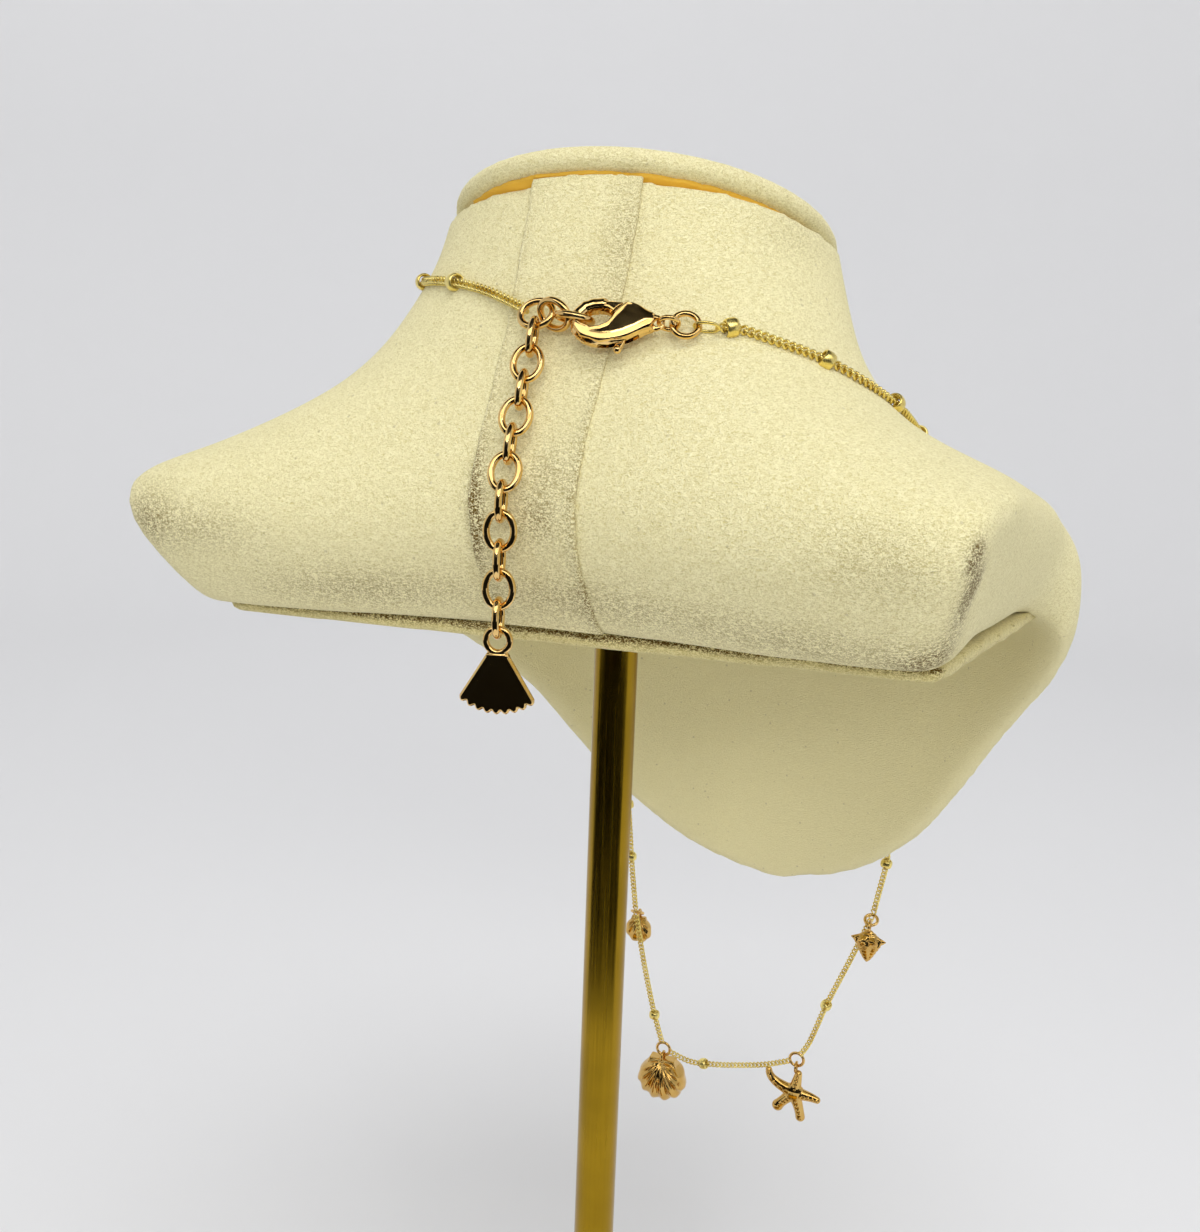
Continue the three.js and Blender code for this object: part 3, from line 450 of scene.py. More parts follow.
CREAM = suede("cream_suede")
CAP_MIDDLE, CAP_UP, CAP_TOP = plane_of("neck_cap")
bust = cloth_over("suede_bust", "bust_form", yields=firm, **BUST_SKIN)
spots = points_of(bust)
rise = below_cap(spots) - RIM["below_cap"]
spots += np.outer(np.where(rise < RIM["flat"], rise, 0), CAP_UP)
move_to(bust, spots)
soften(bust, fade(rise, RIM["soft_to"], -RIM["soft_to"] / 2), 3)
bust.data.materials.append(CREAM)
mark(bust, "soil_and_shade", soil_at(points_of(bust)))
mark(bust, "worn", fade(points_of(bust)[:, 2], PANEL_INSIDE, -INSIDE_FADE))
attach(bust, "stand_and_necklace")

# ----------------------------------------
# Strip down the nape. A narrow band of the same cloth, glued over the back seam; it stands a
# little proud, so its cut edges catch light. Its colour darkens along both cut edges, part dirt
# and part painted shade, and a little all over, more towards the bottom.
# ----------------------------------------
STRIP_SKIN = {"step": 0.0004, "rounds": 3}
STRIP_FOOT = 0.0004
# Strip darkening: along the edges part dirt and part painted shade, over the face dirt, fading out above a
# height.
STRIP_DIRT_AND_SHADE = {"edge": 0.26, "reach": 0.0016, "face": 0.05, "clean_above": 0.300, "fade": 0.05}
STRIP_ROW = 0.002


def cut_across(made, at, up, drop_below):
    """Cuts a mesh along a plane; what lies below may be dropped and the cut closed."""
    body = bmesh.new()
    body.from_mesh(made.data)
    every = [*body.verts, *body.edges, *body.faces]
    cut = bmesh.ops.bisect_plane(body, geom=every, plane_co=at, plane_no=up, clear_inner=drop_below)
    if drop_below:
        rim = [e for e in cut["geom_cut"] if isinstance(e, bmesh.types.BMEdge)]
        bmesh.ops.holes_fill(body, edges=rim)
    body.to_mesh(made.data)
    body.free()


strip = cloth_over("nape_strip", "back_strip", **STRIP_SKIN)
board_middle, board_up, board_top = plane_of("bottom_board")
cut_across(strip, board_middle + board_up * (board_top + STRIP_FOOT), board_up, True)
strip.data.materials.append(CREAM)
spots = points_of(strip)
level = np.round(spots[:, 2] / STRIP_ROW).astype(int)
from_edge = np.ones(len(spots))
for one in np.unique(level):
    row = spots[level == one, 0]
    from_edge[level == one] = np.minimum(row - row.min(), row.max() - row)
lower = np.clip((STRIP_DIRT_AND_SHADE["clean_above"] - spots[:, 2]) / STRIP_DIRT_AND_SHADE["fade"], 0.3, 1)
# Along both cut edges: part dirt, part painted shade in the grooves beside them.
edge_dirt_and_shade = STRIP_DIRT_AND_SHADE["edge"] * np.exp(-((from_edge / STRIP_DIRT_AND_SHADE["reach"]) ** 2))
mark(strip, "soil_and_shade", np.clip(soil_at(spots) + lower * (edge_dirt_and_shade + STRIP_DIRT_AND_SHADE["face"]), 0, 1))
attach(strip, "stand_and_necklace")

# ----------------------------------------
# Cap on the neck. A thin padded oval in the same cloth, on a bare tan board that is a little
# smaller, so that it shows as an orange line under the cap.
# ----------------------------------------
CAP_SKIN = {"step": 0.0006, "rounds": 4}
CAP_T = 0.0036
BARE_BOARD = (0.90, 0.52, 0.05)
PADDING = {"radius": 0.0346, "dome": 0.0012, "lift": 0.0005, "wider": 0.012, "core_wider": 0.035}
cap = cloth_over("cap_cover", "neck_cap", **CAP_SKIN)
cut_across(cap, CAP_MIDDLE + CAP_UP * (CAP_TOP - CAP_T), CAP_UP, False)
cap.data.materials.append(CREAM)
cap.data.materials.append(plain_paint("bare_board", BARE_BOARD)[0])
spots = points_of(cap)
depth = below_cap(spots)
core = depth > CAP_T + 0.00002
across = (spots - CAP_MIDDLE) - np.outer((spots - CAP_MIDDLE) @ CAP_UP, CAP_UP)
out = np.clip(np.linalg.norm(across, axis=1) / PADDING["radius"], 0, 1)
padded = PADDING["dome"] * (1 - out**3) * (1 - depth / CAP_T) + PADDING["lift"]
wider = np.where(core, PADDING["core_wider"], PADDING["wider"])
spots += np.where(core, 0, padded)[:, None] * CAP_UP + wider[:, None] * across
move_to(cap, spots)
for face in cap.data.polygons:
    face.material_index = int(any(core[k] for k in face.vertices))
mark(cap, "soil_and_shade", soil_at(spots))
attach(cap, "stand_and_necklace")

# ----------------------------------------
# Board under the bust. A thin board wrapped in the cloth, glued up against the form. Its cloth
# is painted darker and yellower than the cream suede, as painted shade under the bust; a brown
# line of painted shade runs along the top of its back edge, where the bust overhangs it.
# ----------------------------------------
BOARD_SKIN = {"step": 0.0009, "rounds": 4, "grow": 0.0002}
# Painted shade: the cream suede made darker and yellower for the board in the bust's shade; the third
# colour paints the brown line of shade and the flecks.
BOARD_SUEDE_SHADED = {"light": (0.90, 0.80, 0.40), "deep": (0.58, 0.48, 0.16), "dirt_and_shade": (0.11, 0.055, 0.0)}
BOARD_TOP_SHADE = {"depth": 0.0013, "fade": 0.0007, "facing": 0.24, "facing_fade": 0.4, "elsewhere": 0.04}
board = cloth_over("board_cover", "bottom_board", **BOARD_SKIN)
board.data.materials.append(suede("board_suede", **BOARD_SUEDE_SHADED))
# Brown line: painted shade along the top of the back-facing side, just under the bust's lower edge, with a
# faint darkening over the rest of the board.
high_up = (points_of(board) - board_middle) @ board_up
near_top = fade(high_up, board_top - BOARD_TOP_SHADE["depth"], BOARD_TOP_SHADE["fade"])
at_back = fade(read(board, "normal")[:, 1], BOARD_TOP_SHADE["facing"], BOARD_TOP_SHADE["facing_fade"])
mark(board, "soil_and_shade", near_top * at_back + BOARD_TOP_SHADE["elsewhere"])
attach(board, "stand_and_necklace")

# ----------------------------------------
# Pole and foot. Lacquered brass, brushed along the rod. The rod stands in a shallow seat in a
# turned disc with a rounded upper edge.
# ----------------------------------------
BRASS = {"colour": (0.40, 0.245, 0.015), "roughness": 0.23, "brushed": (1, 1, 0.02)}
ROD_EDGE = 0.0003
FOOT_EDGE, FOOT_UNDER = 0.0015, 0.0008
SEAT_GAP, SEAT_DEPTH = 0.0003, 0.001
CRISP_OVER = math.radians(35)


def brass(name, colour, roughness, brushed):
    metal, tree, shader = new_material(name)
    coords = tree.nodes.new("ShaderNodeTexCoord").outputs["Object"]
    grain = noise(tree, coords, 2200, 3.0, brushed)
    cloud = noise(tree, coords, 60, 3.0)
    darker = tuple(0.8 * c for c in colour)
    tone = blend_colours(tree, spread(tree, cloud, 0.35, 0.65), darker, colour)
    tree.links.new(tone, shader.inputs["Base Color"])
    put(shader, {"Metallic": 1})
    rough = spread(tree, grain, 0.3, 0.7, roughness * 0.75, roughness * 1.25)
    tree.links.new(rough, shader.inputs["Roughness"])
    raised(tree, shader, grain, 0.08, 0.0001)
    return metal


low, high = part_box("pole")
rod_r = (high.x - low.x) / 2
rod_profile = [(0, low.z), (rod_r, low.z), (rod_r, high.z - ROD_EDGE)]
rod_profile += [(rod_r - ROD_EDGE, high.z), (0, high.z)]
rod = lathe("brass_rod", rod_profile, 96)
low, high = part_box("round_base")
foot_r = (high.x - low.x) / 2
foot_t = high.z
foot_profile = [(0, 0), (foot_r - FOOT_UNDER, 0), (foot_r, FOOT_UNDER)]
for a in np.linspace(math.pi / 2, 0, 7):
    out, up = FOOT_EDGE * math.sin(a), FOOT_EDGE * math.cos(a)
    foot_profile.append((foot_r - FOOT_EDGE + out, foot_t - FOOT_EDGE + up))
seat_r = rod_r + SEAT_GAP
foot_profile += [(seat_r, foot_t), (seat_r, foot_t - SEAT_DEPTH), (0, foot_t - SEAT_DEPTH)]
foot = lathe("brass_foot", foot_profile, 160)
STAND_BRASS = brass("stand_brass", **BRASS)
for made, node in ((rod, "pole"), (foot, "round_base")):
    crisp = made.modifiers.new("crisp", "EDGE_SPLIT")
    crisp.split_angle = CRISP_OVER
    settle(made)
    made.data.materials.append(STAND_BRASS)
    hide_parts(node)
    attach(made, "stand_and_necklace")

# ----------------------------------------
# Chain. Fine curb chain in yellow gold: every link is a twisted oval that lies flat and hooks
# into the next. It rests on the cloth as far as the panel's lower edge and then hangs free.
# ----------------------------------------
CURB = {"pitch": 1.07, "wire": 0.42, "width": 1.6, "twist": 0.42, "lift": 0.62}
CORE = Vector((0, -30, 235))
OUTSIDE = 300
LEFT_ON_BUST = [
    (12.7, 25.6, 280.1), (20.5, 22.6, 281.5), (28, 18, 281.8), (35, 10, 281.8), (39, 0, 281),
    (39, -10, 277.5), (37, -20, 272), (34, -29, 265), (33, -40, 256.5), (34, -54, 248.5),
    (37, -68, 240), (39.5, -78, 230), (40.5, -82.5, 224), (40.8, -85.5, 215), (40, -88, 198),
    (39, -89.5, 180), (38, -90.3, 164),
]
RIGHT_ON_BUST = [
    (-28, 23, 275.2), (-33.6, 20.6, 273.4), (-39.9, 16.5, 270.9), (-44.6, 12.9, 268.1),
    (-48.5, 5, 264.5), (-50, -6, 260.5), (-50, -18, 257), (-49.5, -31, 253.5), (-49, -44, 249.5),
    (-48, -57, 244.5), (-47, -69, 237.5), (-45.5, -79, 228), (-43.5, -85, 215), (-41, -89, 199),
    (-38, -92.5, 182), (-35.5, -95.5, 166), (-33.8, -97, 152),
]
FRONT_Y, FRONT_SLOPE = -94.7, 0.0838
STRETCHES = {
    # stretch: what holds its start, its stops on the bust, its free stops (x, z), what holds its end
    "chain_left_upper": ("extender_link_a", LEFT_ON_BUST, [(37.2, 151), (35.4, 133)], "small_cockle"),
    "chain_left_lower": ("small_cockle", [], [(30.7, 104.5), (26.6, 88.2)], "shell_charm"),
    "chain_front": ("shell_charm", [], [(15.4, 76.4), (8, 77.4), (1, 79.1), (-6, 81.2)], "starfish_charm"),
    "chain_right_lower": ("starfish_charm", [], [(-17.3, 90.5), (-21.2, 103), (-26.6, 118)], "small_conch"),
    "chain_right_upper": ("chain_end_link", RIGHT_ON_BUST, [(-33.4, 146), (-32.3, 138.6)], "small_conch"),
}
WIRE_AT = {"extender_link_a": 2.6, "chain_end_link": 1.7}
LEANS = {"small_cockle": -1, "shell_charm": 0, "starfish_charm": 0, "small_conch": 1}
LEAN_OUT, LEAN_DROP = 0.85, 0.53
CHARM_WIRE, INTO_RING = 0.8, 0.5
SIGHT = 0.4


def tree_of(*made):
    points, faces = [], []
    for one in made:
        start = len(points)
        points += [v.co.copy() for v in one.data.vertices]
        faces += [[start + i for i in p.vertices] for p in one.data.polygons]
    return BVHTree.FromPolygons(points, faces)


def laid(guide):
    """A route point on the cloth, on the line from the bust's core through a guide point (mm)."""
    out = (Vector(guide) - CORE).normalized()
    at, normal, _, _ = CLOTH.ray_cast((CORE + out * OUTSIDE) / 1000, -out)
    return at * 1000 + normal * CURB["lift"], normal


def in_front(x, z):
    return Vector((x, FRONT_Y + FRONT_SLOPE * x, z)), Vector((0, 1, 0))


def lie_of(node):
    """A wire ring's own frame, from its solid: X along it, Z square to its plane, in mm."""
    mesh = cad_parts[node].data
    points = np.unique(np.round([v.co * 1000 for v in mesh.vertices], 4), axis=0)
    middle = points.mean(0)
    _, axes = np.linalg.eigh(np.cov((points - middle).T))
    x, z = Vector(axes[:, 2]), Vector(axes[:, 0])
    lie = Matrix((x, z.cross(x), z)).transposed().to_4x4()
    lie.translation = Vector(middle)
    return lie


def end_of(name, towards):
    """Where a stretch starts or ends: in its holder's wire, on the line towards its next stop."""
    charm = name in LEANS
    at = Vector(lie_of(f"{name}_ring" if charm else name).translation)
    reach = 0 if charm else WIRE_AT[name]
    if charm:
        low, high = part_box(f"{name}_ring")
        reach = 0.5 * (high.x - low.x) * 1000 - CHARM_WIRE / 2
        if LEANS[name]:
            at.y, at.z = at.y - LEAN_OUT * LEANS[name] * reach, at.z + LEAN_DROP * reach
            reach = INTO_RING
    return at + (towards[0] - at).normalized() * reach, towards[1]


def smooth_route(stops):
    """Points, facings and arc lengths along a smooth curve through the stops."""
    points = [p for p, _ in stops]
    normals = [n for _, n in stops]
    ends = [points[0] * 2 - points[1], *points, points[-1] * 2 - points[-2]]
    fine, facing = [], []
    for k in range(len(points) - 1):
        p0, p1, p2, p3 = ends[k : k + 4]
        t = [0.0]
        for a, b in ((p0, p1), (p1, p2), (p2, p3)):
            t.append(t[-1] + math.sqrt((b - a).length))
        for u in np.linspace(0, 1, 24, endpoint=False):
            s = t[1] + u * (t[2] - t[1])
            a1 = p0.lerp(p1, (s - t[0]) / (t[1] - t[0]))
            a2 = p1.lerp(p2, (s - t[1]) / (t[2] - t[1]))
            a3 = p2.lerp(p3, (s - t[2]) / (t[3] - t[2]))
            b1 = a1.lerp(a2, (s - t[0]) / (t[2] - t[0]))
            b2 = a2.lerp(a3, (s - t[1]) / (t[3] - t[1]))
            fine.append(b1.lerp(b2, (s - t[1]) / (t[2] - t[1])))
            facing.append(normals[k].lerp(normals[k + 1], float(u)))
    fine.append(points[-1])
    facing.append(normals[-1])
    fine = np.array(fine)
    arc = np.r_[0, np.cumsum(np.linalg.norm(np.diff(fine, axis=0), axis=1))]
    return fine, np.array(facing), arc


def frame_on(route, s):
    """The chain's own frame at arc s: X along it, Z the way it faces."""
    fine, facing, arc = route

    def at(where, values):
        return np.array([np.interp(where, arc, values[:, k]) for k in range(3)])

    x = Vector(at(s + SIGHT, fine) - at(s - SIGHT, fine)).normalized()
    z = Vector(at(s, facing))
    z = (z - x * z.dot(x)).normalized()
    lie = Matrix((x, z.cross(x), z)).transposed().to_4x4()
    lie.translation = Vector(at(s, fine))
    return lie


def ring_grid(around, sides):
    """Faces of a closed tube of rings, as an array."""
    k, s = np.meshgrid(np.arange(around), np.arange(sides), indexing="ij")
    k2, s2 = (k + 1) % around, (s + 1) % sides
    return np.stack([k * sides + s, k2 * sides + s, k2 * sides + s2, k * sides + s2], -1).reshape(-1, 4)


def wire_oval(length, width, wire, twist, around, sides):
    """Closed oval of round wire in its own frame, in mm; twist lifts its corners in turn."""
    a, b = (length - wire) / 2, (width - wire) / 2
    t = np.linspace(0, 2 * np.pi, around, endpoint=False)
    line = np.stack([a * np.cos(t), b * np.sin(t), twist * np.sin(2 * t)], -1)
    along = np.roll(line, -1, 0) - np.roll(line, 1, 0)
    along /= np.linalg.norm(along, axis=1, keepdims=True)
    up = np.cross(along, np.stack([np.cos(t) / a, np.sin(t) / b, 0 * t], -1))
    up /= np.linalg.norm(up, axis=1, keepdims=True)
    out = np.cross(up, along)
    q = np.linspace(0, 2 * np.pi, sides, endpoint=False)
    ring = out[:, None] * np.cos(q)[None, :, None] + up[:, None] * np.sin(q)[None, :, None]
    return (line[:, None] + ring * wire / 2).reshape(-1, 3), ring_grid(around, sides)


def strung(name, pattern, lies):
    """One mesh of many copies of a pattern (points and faces in mm), each in its own frame."""
    points, faces = pattern
    copies = [points @ np.array(m.to_3x3()).T + np.array(m.translation) for m in lies]
    turned = [faces + k * len(points) for k in range(len(lies))]
    return mesh_of(name, np.concatenate(copies) / 1000, np.concatenate(turned))


def gold(name, colour, roughness, wear=1.0):
    """Polished plate: even colour, faint clouding and hairlines that only the gloss shows."""
    metal, tree, shader = new_material(name)
    coords = tree.nodes.new("ShaderNodeTexCoord").outputs["Object"]
    cloud = noise(tree, coords, 300, 3.0)
    hair = noise(tree, coords, 5200, 2.0, (1, 0.2, 1))
    darker = (colour[0] * 0.9, colour[1] * 0.84, colour[2] * 0.72)
    tone = blend_colours(tree, spread(tree, cloud, 0.38, 0.62), darker, colour)
    tree.links.new(tone, shader.inputs["Base Color"])
    put(shader, {"Metallic": 1})
    rough = spread(tree, cloud, 0.3, 0.7, roughness * 0.7, roughness * 1.5)
    tree.links.new(rough, shader.inputs["Roughness"])
    raised(tree, shader, hair, 0.05 * wear, 0.00004)
    return metal


CLOTH = tree_of(bust, strip)
YELLOW = gold("yellow_gold", (1.0, 0.84, 0.30), 0.25)
link_length = CURB["pitch"] + 2 * CURB["wire"]
curb_link = wire_oval(link_length, CURB["width"], CURB["wire"], CURB["twist"], 16, 6)
routes = {}
for name, (start, on_bust, hanging, end) in STRETCHES.items():
    stops = [laid(guide) for guide in on_bust] + [in_front(x, z) for x, z in hanging]
    route = smooth_route([end_of(start, stops[0]), *stops, end_of(end, stops[-1])])
    routes[name] = route
    total = route[2][-1]
    count = int(total / CURB["pitch"])
    step = total / count
    lies = [frame_on(route, (k + 0.5) * step) for k in range(count)]
    made = strung(name.replace("chain", "curb"), curb_link, lies)
    made.data.materials.append(YELLOW)
    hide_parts(name)
    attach(made, "stand_and_necklace")

# ----------------------------------------
# Beads. Small hollow barrels of the same gold, threaded on the chain at even steps; they sit a
# little askew, so that their open ends show.
# ----------------------------------------
BEAD = {"d": 3.0, "length": 1.9, "hole": 2.0, "wall": 0.22}
BEAD_STEP, BEAD_CLEAR = 15.2, 1.5
FIRST_BEADS = {
    # stretch: where its first bead is, in mm; only the upper stretches have more
    "chain_left_upper": (20.5, 22.6, 281.5),
    "chain_left_lower": (26.6, -92.5, 88.2),
    "chain_front": (11.6, -93.7, 76.9),
    "chain_right_lower": (-21.2, -96.5, 103.0),
    "chain_right_upper": (-27.0, 23.2, 275.4),
}
TILT, TIP = 16, 10


def barrel():
    half, mouth = BEAD["length"] / 2, BEAD["hole"] / 2
    outer, inner = [], []
    for u in np.linspace(-1, 1, 9):
        swell = (BEAD["d"] / 2 - mouth - BEAD["wall"]) * math.sqrt(1 - u * u * 0.98)
        outer.append((half * u, mouth + BEAD["wall"] + swell))
        inner.append((half * u * 0.97, mouth + swell))
    section = outer + inner[::-1]
    turns = 28
    points = []
    for k in range(turns):
        a = 2 * math.pi * k / turns
        points += [(x, r * math.cos(a), r * math.sin(a)) for x, r in section]
    return np.array(points), ring_grid(turns, len(section))


draw = np.random.default_rng(7)
threaded = []
for name, first in FIRST_BEADS.items():
    fine, _, arc = routes[name]
    stops = [arc[np.linalg.norm(fine - np.array(first), axis=1).argmin()]]
    while name.endswith("upper") and stops[-1] + BEAD_STEP < arc[-1] - BEAD_CLEAR:
        stops.append(stops[-1] + BEAD_STEP)
    for s in stops:
        tilt = Matrix.Rotation(math.radians(draw.uniform(-TILT, TILT)), 4, "Z")
        tip = Matrix.Rotation(math.radians(draw.uniform(-TIP, TIP)), 4, "Y")
        threaded.append(frame_on(routes[name], s) @ tilt @ tip)
beads = strung("beads", barrel(), threaded)
beads.data.materials.append(YELLOW)
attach(beads, "stand_and_necklace")

# ----------------------------------------
# Extender and rings. Round wire in warm gold, bent to ovals and soldered shut; every other link
# hangs edge-on. The thin link at the chain's right end is of the chain's yellow gold.
# ----------------------------------------
WARM_GOLD = (0.93, 0.65, 0.27)
WARM = gold("warm_gold", WARM_GOLD, 0.07)
OVALS = {
    # node: length, width, wire
    **{f"extender_link_{letter}": (6.45, 5.4, 1.08) for letter in "abc"},
    **{f"drop_link_{k:02d}": (6.55, 5.2, 1.08) for k in range(1, 12)},
    "clasp_ring": (3.6, 3.6, 0.74),
    "chain_ring": (4.9, 4.7, 0.92),
    "chain_end_link": (4.2, 3.0, 0.5),
    "small_cockle_ring": (4.0, 4.0, 0.8),
    "shell_charm_ring": (4.6, 4.6, 0.8),
    "starfish_charm_ring": (4.6, 4.6, 0.8),
    "small_conch_ring": (4.0, 4.0, 0.8),
}
for node, (length, width, wire) in OVALS.items():
    made = strung(f"{node}_wire", wire_oval(length, width, wire, 0, 56, 16), [lie_of(node)])
    finish = YELLOW if node == "chain_end_link" else WARM
    made.data.materials.append(finish)
    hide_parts(node)
    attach(made, "stand_and_necklace")

# ----------------------------------------
# Clasp. A cast lobster clasp in warm gold: domed faces with a crest that sweeps from the mouth
# over to the tail. Its lever has a thumb tab below and turns on a rivet.
# ----------------------------------------
CLASP = Matrix(((-0.9601, 0.1620, -0.2279), (-0.2780, -0.4656, 0.8402), (0.0300, 0.8700, 0.4921))).to_4x4()
CLASP.translation = Vector((-5.95, 33.4, 275.7))
CREST = [
    (0.9, 0.0), (1.71, -0.55), (3.28, -1.33), (4.57, -1.16), (5.75, -0.62), (6.2, 0.05), (6.75, 0.85),
    (7.45, 1.69), (8.45, 2.75), (9.54, 2.75), (11.22, 1.9), (12.5, 0.9),
]
LOWER_EDGE = [(12.6, -0.2), (12, -1.1), (8.5, -2.9), (4.8, -3.6), (1.8, -2.6), (0.7, -0.9)]
SILL = [
    (1.3, -0.7), (3.28, -1.4), (4.57, -1.25), (5.75, -0.75), (6.6, -0.4), (6.1, -1.5), (4.2, -2.4),
    (2.4, -2.1),
]
HOOD_LEVELS, SILL_LEVELS = (0.75, 1.5), (-1.1, 1.3)
HOOK = [(0.95, 0.1), (1.15, 1.2), (2.1, 2.3), (3.4, 2.75), (4.75, 2.85)]
HOOK_R, HOOK_LEVEL = 1.05, 0.35
OUTER = [
    (0, -0.5), (0.6, -1.8), (1.5, -2.8), (3.1, -3.6), (4.8, -3.9), (6.8, -3.75), (8.6, -3.2), (10.4, -2.3),
    (12, -1.3), (13.4, -1.2), (14.3, 0), (13.4, 1.2), (12, 1.4), (11, 2.1), (10, 2.8), (8.6, 3.3), (7, 3.4),
    (4, 3.4), (2.6, 3.1), (1.5, 2.4), (0.5, 1.1), (0, -0.5),
]
MOUTH = [
    (1.5, -0.3), (2.4, -1.4), (4.2, -1.5), (6.1, -0.9), (6.6, 0.3), (6.1, 1.1), (5.4, 1.6), (3.2, 1.65),
    (1.9, 0.9), (1.5, -0.3),
]
ROUNDED = {
    # part of the casting: how far in from its edge it rounds, how much thinner the edge gets
    "hood": (2.0, 0.42),
    "hood_edge": (0.6, 0.5),
    "frame": (0.8, 0.4),
    "gate": (0.95, 0.6),
}
CREST_SLOPE = 0.07
RIDGE = {"height": 0.16, "width": 0.32, "from_edge": 0.5}
EASED = {"reach": 1.0, "width": 0.55}
CURL = {"short_of": 5.0, "above": 0.3}
TAB_TOP = -0.4
TAB_KNOB = {"at": (7.42, -4.35, 0), "radius": 0.62}


def cast(name, node, lie, step, rounds, extra=()):
    """A fine skin over a small solid (and any extra meshes), in the solid's own frame, in mm."""
    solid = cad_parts[node].data.copy()
    solid.transform(Matrix.Scale(1000, 4))
    solid.transform(lie.inverted())
    body = bmesh.new()
    body.from_mesh(solid)
    for one in extra:
        body.from_mesh(one)
    bmesh.ops.remove_doubles(body, verts=body.verts, dist=0.001)
    body.to_mesh(solid)
    body.free()
    made = new_object(name, solid)
    made.data.materials.clear()
    skin_over(made, step, rounds)
    return made


def back_home(made, points, lie, node):
    """Puts a piece's points (mm, own frame) back in the row's frame and in the node's place."""
    made.data.vertices.foreach_set("co", points.ravel())
    made.data.transform(lie)
    made.data.transform(Matrix.Scale(0.001, 4))
    made.data.update()
    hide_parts(node)


def sheet_mesh(name, grid):
    """Closed mesh from a grid of points: each row is a ring, and the end rows are capped."""
    rows, columns = grid.shape[:2]
    last = (rows - 1) * columns
    walls = np.roll(ring_grid(rows, columns)[:last, ::-1], 1, 1)
    faces = [*walls, range(columns)[::-1], range(last, last + columns)]
    return mesh_data(name, grid.reshape(-1, 3), faces)


def plate_mesh(outline, levels):
    """A flat plate in mm from its outline, between two heights."""
    return sheet_mesh("plate", np.array([[(x, y, z) for x, y in outline] for z in levels]))


def ball(at, radius, flat=1.0):
    body = bmesh.new()
    bmesh.ops.create_uvsphere(body, u_segments=16, v_segments=10, radius=radius)
    lie = Matrix.Translation(at) @ Matrix.Diagonal((1, flat, 1, 1))
    bmesh.ops.transform(body, matrix=lie, verts=body.verts)
    mesh = bpy.data.meshes.new("ball")
    body.to_mesh(mesh)
    body.free()
    return mesh


def beside(points, line):
    """For each point (first two coordinates): its distance from a bent line, how far along the
    line the nearest place is, and which side of the line it is on."""
    best = np.full(len(points), 1e9)
    place = np.zeros(len(points))
    side = np.zeros(len(points))
    start = 0
    for a, b in zip(np.array(line[:-1]), np.array(line[1:])):
        away = points[:, :2] - a
        t = np.clip((away @ (b - a)) / ((b - a) @ (b - a)), 0, 1)
        gap = np.linalg.norm(away - t[:, None] * (b - a), axis=1)
        turn = (b - a)[0] * away[:, 1] - (b - a)[1] * away[:, 0]
        length = np.linalg.norm(b - a)
        place = np.where(gap < best, start + t * length, place)
        side = np.where(gap < best, np.sign(turn), side)
        best = np.minimum(best, gap)
        start += length
    return best, place, side


def gap_to(points, line):
    return beside(points, line)[0]


def smooth_line(stops, count):
    """Evenly numbered points along a bent line."""
    at = np.linspace(0, len(stops) - 1, count)
    return list(zip(*(np.interp(at, range(len(stops)), axis) for axis in zip(*stops))))


def eased(points, line, reach, width):
    """Points moved so that a cornered outline near them turns into a smooth one."""
    line = np.array(line)
    arcs = np.append(0, np.cumsum(np.linalg.norm(np.diff(line, axis=0), axis=1)))
    fine = np.linspace(0, arcs[-1], 600, endpoint=False)
    along = np.stack([np.interp(fine, arcs, line[:, k]) for k in (0, 1)], 1)
    span = int(3 * width / fine[1])
    share = np.exp(-0.5 * (np.arange(-span, span + 1) * fine[1] / width) ** 2)
    soft = sum(w * np.roll(along, k - span, 0) for k, w in enumerate(share)) / share.sum()
    gap, place, _ = beside(points, line)
    shift = np.stack([np.interp(place, fine, (soft - along)[:, k]) for k in (0, 1)], 1)
    moved = points.copy()
    moved[:, :2] += shift * np.exp(-((gap / reach) ** 2))[:, None]
    return moved


def rounded(away, radius, squeeze):
    """Share of the thickness left: full beyond the radius, less towards the edge."""
    short = 1 - np.minimum(away, radius) / radius
    return 1 - squeeze * (1 - np.sqrt(1 - short**2 * 0.999))


hood = plate_mesh(CREST + LOWER_EDGE, HOOD_LEVELS)
sill = plate_mesh(SILL, SILL_LEVELS)
hook = [ball((u, v, HOOK_LEVEL), HOOK_R) for u, v in smooth_line(HOOK, 30)]
clasp = cast("lobster_clasp", "clasp_body", CLASP, step=0.085, rounds=5, extra=(hood, sill, *hook))
points = points_of(clasp)
to_edge = gap_to(points, OUTER)
to_crest, _, side = beside(points, CREST)
hooded = 1 / (1 + np.exp(np.clip(side * to_crest / CREST_SLOPE, -40, 40)))
broad = rounded(to_edge, *ROUNDED["hood"]) * rounded(to_edge, *ROUNDED["hood_edge"])
slim = rounded(np.minimum(to_edge, gap_to(points, MOUTH)), *ROUNDED["frame"])
ridge = RIDGE["height"] * np.exp(-((to_crest / RIDGE["width"]) ** 2))
ridge *= np.clip(to_edge / RIDGE["from_edge"], 0, 1)
front = points[:, 2] * (hooded * broad + (1 - hooded) * slim) + ridge
tube = HOOK_LEVEL + np.sqrt(np.clip(HOOK_R**2 - gap_to(points, HOOK) ** 2, 0, None))
curl = (points[:, 0] < CURL["short_of"]) & (points[:, 1] > CURL["above"])
front = np.where(curl, np.minimum(points[:, 2], tube), front)
points[:, 2] = np.where(points[:, 2] > 0, front, points[:, 2] * slim)
back_home(clasp, eased(points, OUTER, **EASED), CLASP, "clasp_body")
lever = cast("clasp_gate", "clasp_lever", CLASP, step=0.07, rounds=3, extra=(ball(**TAB_KNOB),))
points = points_of(lever)
